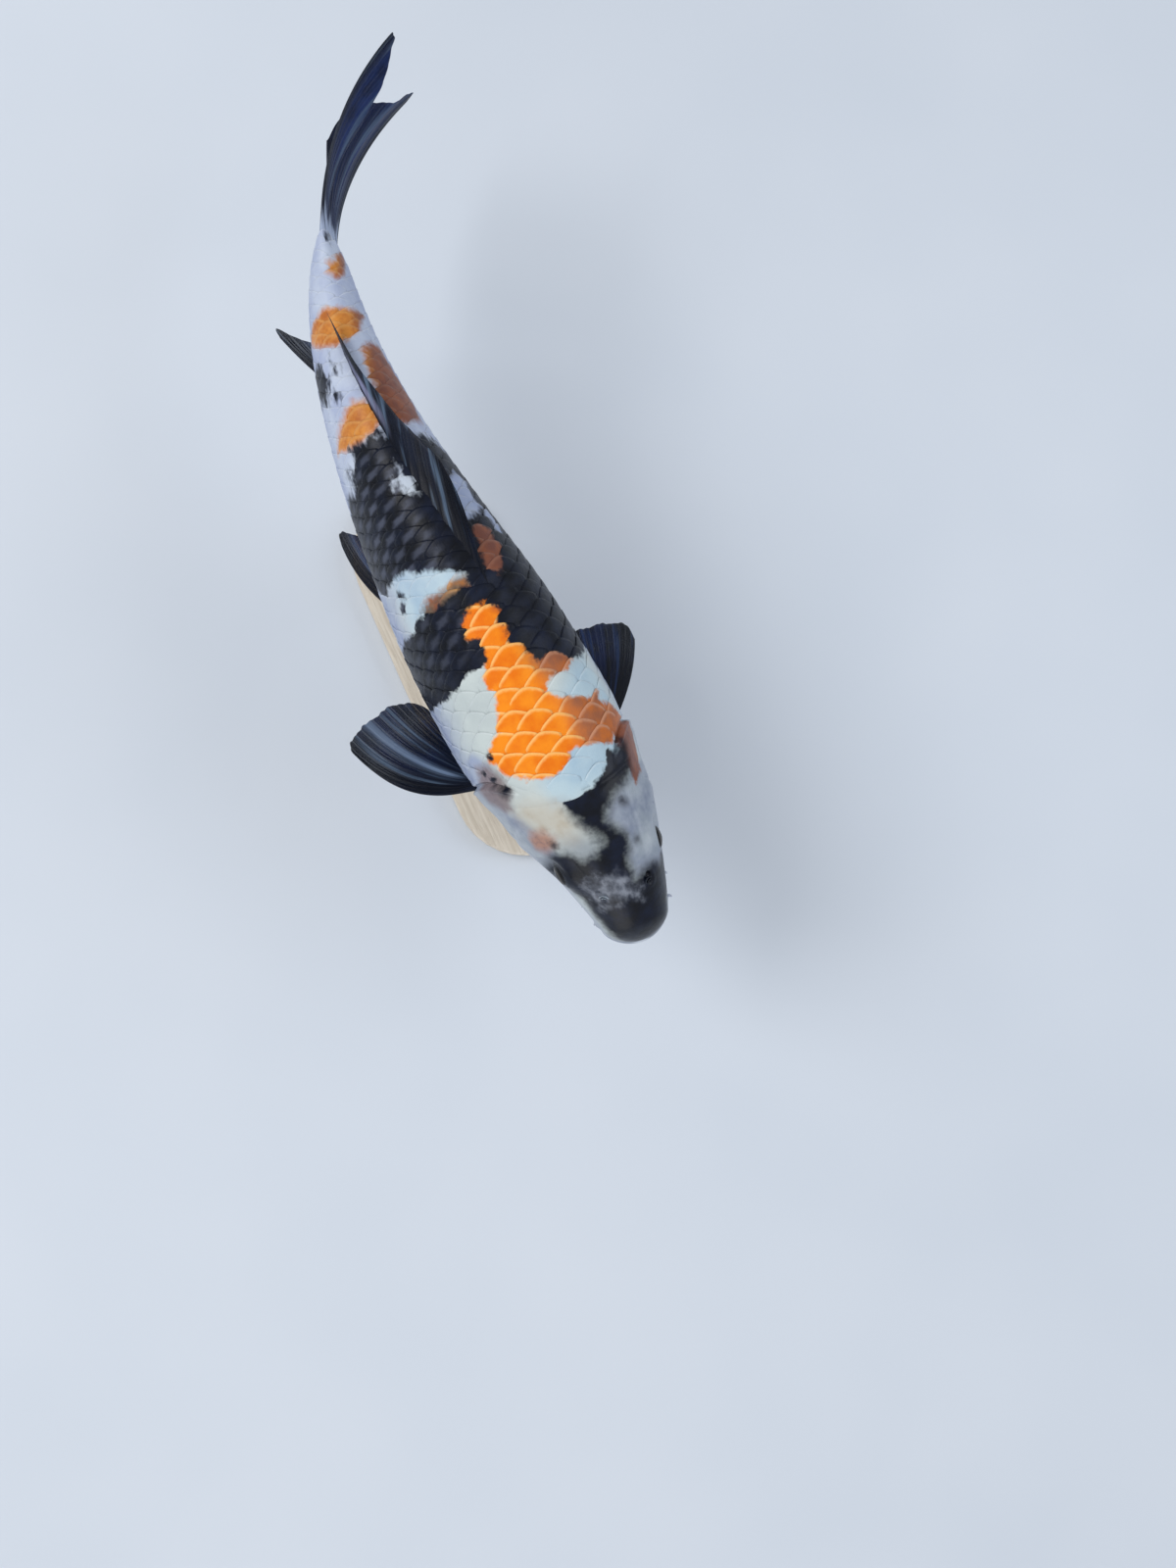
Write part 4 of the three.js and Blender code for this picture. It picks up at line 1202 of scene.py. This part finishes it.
class Pigments(Shader):
    """The koi's colours: white, orange and sumi by their outlines, with uneven, cloudy borders, and
    painted shade on the flanks.
    """

    def __init__(self, name, on_scale):
        super().__init__(name)
        self.on_scale = on_scale
        self.broad = self.noise(14)
        self.coarse = self.noise(6)
        self.fine = self.noise(1.6, 4.0)
        self.along = self.field("along")
        self.head = self.field("head")
        self.dull = self.field("dull")
        self.rear = self.along.between(0.45, 0.75)
        self.ragged = self.coarse * 4.2 + self.fine * 2.4
        if on_scale:
            self.chance = self.field("chance")
            self.ragged = self.ragged + (self.chance - 0.5) * 0.8
            self.margin = self.field("margin")
            self.uneven_margin = self.margin + self.fine * 1.1

    def colour(self):
        soft = self.dull + 1.0
        hi_depth = self.field("hi") + self.ragged
        colour = self.ramp(hi_depth, soft * -0.9, soft, self.ground(), self.orange())
        streaks = self.noise(2.2, stretch=(1.0, 0.3, 1.0)) * self.rear * 9.0
        sumi_depth = self.field("sumi") + self.ragged + streaks
        blurred = self.head * 2.2 + 0.8 + self.rear * 1.4
        colour = self.ramp(sumi_depth, blurred * -1.0, blurred, colour, self.sumi())
        return self.lateral_line(colour) if self.on_scale else self.grey_nose(colour)

    def ground(self):
        """Everything under the orange and the sumi."""
        # painted shade: the whites turn bluish where the flanks and cheeks turn away from the light
        ground = self.blend(self.field("flank_shade") * (self.broad + 0.78), self.white(), self.flank_shade())
        belly = self.ramp(self.coarse, -0.2, 0.3, BELLY_WHITE, BELLY_SHADE)
        ground = self.blend(self.field("belly") * 0.85, ground, belly)
        beige = self.ramp(self.coarse, -0.12, 0.3, BEIGE, BEIGE_DEEP)
        beige = self.ramp(self.along, 0.18, 0.138, beige, BEIGE_GREY)
        beige_depth = self.field("beige") + self.coarse * 4.0
        ground = self.blend(beige_depth.between(-6.0, 5.0) * 0.8, ground, beige)
        blush_depth = self.field("blush") + self.ragged * 0.8
        ground = self.blend(blush_depth.between(-3.0, 2.5) * 0.85, ground, self.blush())
        if self.on_scale:
            rim = 1.0 - self.uneven_margin.between(0.1, 0.9)
            ground = self.blend(rim * 0.22, ground, PEARL)
        return ground

    def white(self):
        """Bluer behind the head and in mid flank, lavender on the tail stalk."""
        cloud = self.broad.between(-0.2, 0.25)
        ice = self.blend(cloud, ICE, ICE_DEEP)
        white = self.blend(self.field("ice"), self.blend(cloud, WHITE, WHITE_DEEP), ice)
        return self.blend(self.rear, white, self.blend(cloud, LAVENDER, LAVENDER_DEEP))

    def flank_shade(self):
        """Painted shade of the flanks and cheeks: bluish, and greyer on the head."""
        flank_shade = self.ramp(self.coarse, -0.3, 0.3, SHADE_BLUE, SHADE_BLUE_PALE)
        on_head = self.ramp(self.coarse + self.fine * 0.5, -0.3, 0.25, HEAD_SHADE, HEAD_SHADE_PALE)
        return self.blend(self.head, flank_shade, on_head)

    def blush(self):
        """Orange by the right eye, brownish grey on the gill cover."""
        tone = self.ramp(self.along, 0.19, 0.23, BLUSH_ORANGE, BLUSH_TAUPE)
        return self.blend(self.fine.between(-0.1, 0.3) * 0.6, tone, BLUSH_DEEP)

    def orange(self):
        """Clear orange in front, dull behind, brick brown on the left, partly its own colour and partly
        painted shade, with a paler net on the scales.
        """
        clear = self.ramp(self.broad + self.coarse * 0.8, -0.25, 0.25, HI, HI_DEEP)
        dull = self.ramp(self.coarse + self.fine * 0.6, -0.25, 0.3, DULL_HI, DULL_DEEP)
        orange = self.blend(self.dull, clear, dull)
        # brick brown on the left flank, partly painted shade
        brick_and_shade_share = (self.field("brick_and_shade") + self.ragged).between(-3.5, 6.0)
        tone = self.coarse.between(-0.2, 0.3)
        # darker brick on the head and from mid body back; on the left gill cover it is painted shade
        darker = self.math("MAXIMUM", self.head, self.along.between(0.33, 0.45))
        brick_and_shade = self.blend(tone, BRICK_PALE, BRICK_ORANGE)
        brick_and_shade = self.blend(darker, brick_and_shade, self.blend(tone, BRICK, BRICK_WARM))
        orange = self.blend(brick_and_shade_share, orange, brick_and_shade)
        taupe = self.ramp(self.fine, -0.15, 0.2, TAUPE_DEEP, TAUPE)
        taupe_share = self.field("taupe") * self.coarse.between(0.3, -0.1) * 0.9
        orange = self.blend(taupe_share, orange, taupe)
        if self.on_scale:
            net = self.blend(self.dull, HI_NET, DULL_NET)
            net = self.blend(brick_and_shade_share, net, self.blend(darker, BRICK_PALE_NET, BRICK_NET))
            rim = 1.0 - self.uneven_margin.between(0.25, 1.9)
            orange = self.blend(rim * (0.85 - self.dull * 0.35), orange, net)
        return orange

    def sumi(self):
        black = self.ramp(self.coarse, -0.2, 0.35, SUMI, SUMI_BLUE)
        return self.blend(self.kage_share(), black, KAGE) if self.on_scale else black

    def kage_share(self):
        """How much of a scale's greyer middle shows: a slanting lozenge, longer to the back and tail."""
        x = self.field("middle_x") * 2.0
        y = self.field("middle_y") * 0.95
        away = abs(x + y) * 0.62 + abs(x - y) * 1.15 + self.fine * 0.5
        core = 1.0 - away.between(0.2, 0.95)
        return core * (self.chance * 0.35 + 0.65) * (self.field("kage") * 0.8 + 0.08)

    def lateral_line(self, colour):
        """One faint pore on each scale that the lateral line crosses."""
        pore = self.field("line").ridge(0.0, 0.8) * self.margin.ridge(2.2, 1.5)
        return self.blend(pore * 0.6, colour, PORE)

    def grey_nose(self, colour):
        """Pale wisps in the sumi round the right nostril."""
        wisps = self.noise(2.6, 4.0, stretch=(1.0, 0.5, 1.0))
        depth = self.field("grey") + (wisps * 11.0 + self.ragged)
        grey = self.ramp(wisps + self.coarse, -0.15, 0.3, NOSE_GREY, NOSE_PALE)
        return self.blend(depth.between(-2.0, 7.0) * 0.8, colour, grey)


def skin_material():
    shader = Pigments("koi_skin_wet", on_scale=False)
    pores = shader.noise(0.55, 2.0)
    folds = shader.noise(3.2, 4.0)
    return shader.finish(
        shader.colour(), folds * 0.2 + 0.32, pores * 0.35 + folds, bump_mm=0.16,
        Coat_Weight=0.1, Coat_Roughness=0.22, Specular_IOR_Level=0.18,
    )


def scale_material():
    """Growth rings and fine rays on each scale."""
    shader = Pigments("koi_scales_wet", on_scale=True)
    ring_width = 0.55
    rings = (shader.margin * (2 * math.pi / ring_width)).sine()
    rays = (shader.field("middle_y") * 60.0).sine()
    height = rings * 0.05 + rays * 0.04 + shader.noise(0.8)
    return shader.finish(
        shader.colour(), shader.noise(2.2) * 0.25 + 0.42, height, bump_mm=0.1,
        Coat_Weight=0.05, Coat_Roughness=0.2, Specular_IOR_Level=0.15,
    )


IRIS = srgb(7, 8, 11)
IRIS_PALE = srgb(24, 23, 25)
IRIS_EDGE = srgb(20, 22, 30)
GOLD = srgb(140, 114, 70)
GOLD_DEEP = srgb(70, 56, 36)
PUPIL = srgb(4, 4, 6)
PUPIL_RADIUS = 2.8


def eye_material():
    """A dark iris with a thin gold line round a black pupil, under a wet cornea."""
    shader = Shader("koi_eye_wet")
    away = shader.field("away")
    spokes = (shader.field("spin") * 47.0).sine()
    flecks = shader.noise(0.7, 4.0) + spokes * 0.06
    iris = shader.ramp(flecks, -0.2, 0.3, IRIS, IRIS_PALE)
    gold = shader.ramp(flecks, -0.25, 0.3, GOLD_DEEP, GOLD)
    gold_line = (away + flecks * 0.35).ridge(PUPIL_RADIUS + 0.15, 0.22)
    colour = shader.blend(gold_line * 0.7, iris, gold)
    beyond_pupil = (away + flecks * 0.2).between(PUPIL_RADIUS - 0.1, PUPIL_RADIUS + 0.1)
    colour = shader.blend(1.0 - beyond_pupil, colour, PUPIL)
    colour = shader.ramp(away + flecks * 0.6, 4.2, 5.0, colour, IRIS_EDGE)
    return shader.finish(
        colour, 0.35, flecks, bump_mm=0.02,
        Coat_Weight=0.28, Coat_Roughness=0.04, Specular_IOR_Level=0.14,
    )


# Soft skin of barbels and nostril flaps: dark, light and the barbel's tip.
FLESH_LOOKS = {
    "koi_barbel_skin": (srgb(122, 130, 150), srgb(156, 164, 182), srgb(184, 186, 194)),
    "koi_flap_pale": (srgb(150, 162, 174), srgb(196, 206, 214), srgb(206, 214, 218)),
    "koi_flap_dark": (srgb(30, 34, 44), srgb(52, 58, 70), srgb(52, 58, 70)),
}


def flesh_material(name):
    dark, light, tip = FLESH_LOOKS[name]
    shader = Shader(name)
    mottle = shader.noise(1.4, 4.0)
    colour = shader.ramp(mottle, -0.2, 0.25, dark, light)
    colour = shader.blend(shader.field("out") * 0.6, colour, tip)
    return shader.finish(
        colour, 0.4, mottle, bump_mm=0.08,
        Coat_Weight=0.15, Coat_Roughness=0.15, Specular_IOR_Level=0.25,
    )


FIN_BLACK = srgb(7, 11, 22)
FIN_SLATE = srgb(16, 24, 42)
FIN_NAVY = srgb(10, 26, 64)
FIN_BLUE = srgb(20, 44, 98)
FIN_STEEL = srgb(40, 62, 104)
FIN_HAZE = srgb(70, 86, 116)
FIN_GREY = srgb(92, 112, 136)
FIN_SHEEN = srgb(120, 140, 168)
FIN_LAVENDER = srgb(140, 144, 178)
FIN_ROOT = srgb(160, 172, 196)

# A fin is dark with long streaks along its rays, and its web lets a share of the light through (clear).
# A band of another tone is given by the middle and half width of its place in the span, by where it
# starts and is gone along the rays, all as shares of the fin, by its colour and by its strength.
NOT_GONE = 1.5  # beyond the fin's edge
BLADE = (0.12, 0.3, 0.0, NOT_GONE, FIN_BLACK, 0.9)
FIN_LOOKS = {
    "dorsal": {
        "dark": FIN_BLACK, "web": FIN_SLATE, "streak": FIN_GREY, "streaks": 7.0, "root": FIN_BLACK,
        "root_reach": 0.2, "clear": 0.1, "bands": [(0.78, 0.2, 0.4, 0.68, FIN_LAVENDER, 0.8)],
    },
    "anal": {
        "dark": FIN_SLATE, "web": FIN_NAVY, "streak": FIN_GREY, "streaks": 4.0, "root": FIN_ROOT,
        "root_reach": 0.25, "clear": 0.35, "bands": [BLADE],
    },
    "caudal": {
        "dark": FIN_NAVY, "web": FIN_BLUE, "streak": FIN_GREY, "streaks": 4.0, "root": FIN_ROOT,
        "root_reach": 0.17, "clear": 0.12, "bands": [
            (0.95, 0.3, 0.1, NOT_GONE, FIN_BLACK, 0.9),
            (0.02, 0.22, 0.25, NOT_GONE, FIN_BLACK, 0.85),
        ],
    },
    "pectoral_right": {
        "dark": FIN_SLATE, "web": FIN_NAVY, "streak": FIN_GREY, "streaks": 8.0, "root": FIN_SLATE,
        "root_reach": 0.1, "clear": 0.3, "bands": [BLADE, (0.4, 0.075, 0.2, NOT_GONE, FIN_SHEEN, 0.85)],
    },
    "pectoral_left": {
        "dark": FIN_BLACK, "web": FIN_NAVY, "streak": FIN_STEEL, "streaks": 8.0, "root": FIN_BLACK,
        "root_reach": 0.1, "clear": 0.2, "bands": [BLADE],
    },
    "pelvic": {
        "dark": FIN_SLATE, "web": FIN_NAVY, "streak": FIN_HAZE, "streaks": 5.0, "root": FIN_SLATE,
        "root_reach": 0.12, "clear": 0.25, "bands": [BLADE],
    },
}


def fin_material(fin, dark, web, streak, streaks, root, root_reach, clear, bands):
    shader = Shader(f"koi_fin_{fin}")
    span, out, ray = shader.field("span"), shader.field("out"), shader.field("ray")
    cloud = shader.noise(9)
    fine = shader.noise(1.1, 4.0)
    long_streaks = shader.streaks(span, out, streaks, 1.6, 1.0)
    thin_streaks = shader.streaks(span, out, 2.2 * streaks, 1.4, 5.0)
    web_share = (long_streaks + cloud * 0.5).between(-0.08, 0.16) * out.between(0.1, 0.75)
    colour = shader.blend(web_share, dark, web)
    for middle, width, start, gone, tone, strength in bands:
        band = (span + thin_streaks * 0.12).ridge(middle, width) * strength
        band = band * out.between(start - 0.12, start + 0.08)
        band = band * (1.0 - out.between(gone - 0.12, gone + 0.08))
        colour = shader.blend(band, colour, tone)
    light = thin_streaks + long_streaks * 0.7
    colour = shader.blend(light.between(0.04, 0.24) * 0.8, colour, streak)
    on_ray = (ray + fine * 0.3).between(0.3, 0.85)
    colour = shader.blend(on_ray * 0.35, colour, FIN_BLACK)
    from_root = out + (thin_streaks * 0.8 + cloud * 0.15)
    colour = shader.blend(1.0 - from_root.between(root_reach * 0.4, root_reach), colour, root)
    thin = (1.0 - on_ray) * out.between(0.2, 0.9)
    fibres = (span * 520.0 + fine * 6.0).sine()
    return shader.finish(
        colour, 0.45, fibres * 0.2 + fine, bump_mm=0.05, Alpha=1.0 - thin * clear,
        Coat_Weight=0.05, Coat_Roughness=0.2, Specular_IOR_Level=0.12,
    )


# ---------------------------------------------------------------- the stand

OAK = srgb(190, 178, 160)
OAK_PALE = srgb(212, 202, 186)
OAK_PORE = srgb(164, 150, 130)
STEEL = srgb(168, 170, 174)
STEEL_PALE = srgb(198, 200, 204)


def wood_material():
    shader = Shader("stand_wood")
    grain = shader.noise(16, 4.0, stretch=(9.0, 0.7, 9.0), distortion=0.6)
    pores = shader.noise(1.0, stretch=(3.0, 0.12, 3.0))
    colour = shader.ramp(grain, -0.2, 0.2, OAK, OAK_PALE)
    colour = shader.ramp(pores, 0.08, 0.3, colour, OAK_PORE)
    return shader.finish(colour, 0.42, pores + grain, bump_mm=0.12, Coat_Weight=0.25, Coat_Roughness=0.2)


def steel_material():
    shader = Shader("stand_brushed_steel")
    brushed = shader.noise(0.35, 2.0, stretch=(1.0, 1.0, 30.0))
    colour = shader.ramp(brushed, -0.3, 0.3, STEEL, STEEL_PALE)
    return shader.finish(colour, brushed * 0.25 + 0.3, brushed, bump_mm=0.02, Metallic=1.0)


def dress_stand():
    """The stand's own solids have the right shapes and only get their materials."""
    wood, steel = wood_material(), steel_material()
    for name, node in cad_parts.items():
        if name.startswith("stand_"):
            node.data.materials.clear()
            node.data.materials.append(wood if name == "stand_base" else steel)


# ---------------------------------------------------------------- camera, floor and light

VIEW_POINT = np.array([14.2, -65.0, 110.0])  # in the middle of the picture
VIEW_DISTANCE = 750
VIEW_TILT = math.radians(6)  # from straight down, towards the fish's right
VIEW_TURN = math.radians(24)  # of the picture's upright, from +Y to +X
VIEW_LENS = 45

# The stage is in metres.
FLOOR_HALF = 3.0
FLOOR = srgb(206, 212, 220)
FLOOR_SHADE = srgb(200, 207, 216)
SKY = (0.92, 0.95, 1.0, 1.0)
SKY_STRENGTH = 0.55
LIT_POINT = Vector((0.01, 0.0, 0.11))
LAMPS = {
    "key": {"place": (-0.75, 0.55, 1.15), "size": 0.7, "power": 11.0, "colour": (1.0, 1.0, 1.0)},
    "fill": {"place": (0.95, -0.35, 0.9), "size": 0.9, "power": 5.0, "colour": (0.86, 0.92, 1.0)},
    "low": {"place": (-0.5, -0.95, 0.35), "size": 0.7, "power": 2.5, "colour": (1.0, 1.0, 1.0)},
}


def set_camera():
    back = np.array([-math.sin(VIEW_TILT), 0.0, math.cos(VIEW_TILT)])
    up = np.array([math.sin(VIEW_TURN), math.cos(VIEW_TURN), 0.0])
    up = unit(up - back * (up @ back))
    right = np.cross(up, back)
    place = Vector((VIEW_POINT + back * VIEW_DISTANCE) * MM)
    camera = bpy.data.objects.new("camera", bpy.data.cameras.new("camera"))
    camera.matrix_world = Matrix.Translation(place) @ Matrix(np.stack([right, up, back], 1)).to_4x4()
    camera.data.lens = VIEW_LENS
    camera.data.clip_start = 0.01
    bpy.context.scene.collection.objects.link(camera)
    bpy.context.scene.camera = camera


def add_lamp(name, place, size, power, colour):
    light = bpy.data.lights.new(name, "AREA")
    light.size = size
    light.energy = power
    light.color = colour
    lamp = bpy.data.objects.new(name, light)
    lamp.location = place
    lamp.rotation_euler = (LIT_POINT - lamp.location).to_track_quat("-Z", "Y").to_euler()
    bpy.context.scene.collection.objects.link(lamp)


def add_floor():
    half = FLOOR_HALF
    corners = [(-half, -half, 0), (half, -half, 0), (half, half, 0), (-half, half, 0)]
    mesh = bpy.data.meshes.new("floor")
    mesh.from_pydata(corners, [], [(0, 1, 2, 3)])
    shader = Shader("floor_pale")
    colour = shader.ramp(shader.noise(120, 2.0), -0.4, 0.4, FLOOR, FLOOR_SHADE)
    mesh.materials.append(shader.finish(colour, 0.7))
    floor = bpy.data.objects.new("floor", mesh)
    bpy.context.scene.collection.objects.link(floor)


def set_stage():
    add_floor()
    world = bpy.data.worlds.new("studio")
    world.use_nodes = True
    background = world.node_tree.nodes["Background"]
    background.inputs["Color"].default_value = SKY
    background.inputs["Strength"].default_value = SKY_STRENGTH
    bpy.context.scene.world = world
    for name, lamp in LAMPS.items():
        add_lamp(name, **lamp)


# ---------------------------------------------------------------- the whole


def make_fish():
    skin = skin_points()
    skin_wet = skin_material()
    eye_wet = eye_material()
    barbel_skin = flesh_material("koi_barbel_skin")
    flap_skins = {"right": flesh_material("koi_flap_pale"), "left": flesh_material("koi_flap_dark")}
    make_skin(skin, skin_wet)
    for name, side in SIDES.items():
        make_eye(name, side, eye_wet)
        make_eye_rim(name, side, skin_wet, skin)
        make_nostril_flaps(name, side, flap_skins[name])
        for pair in BARBELS:
            make_barbel(pair, name, side, barbel_skin)
    make_all_scales(scale_material())
    make_fins({fin: fin_material(fin, **look) for fin, look in FIN_LOOKS.items()})


bpy.context.scene.view_settings.view_transform = "Standard"
set_camera()
set_stage()
make_fish()
dress_stand()
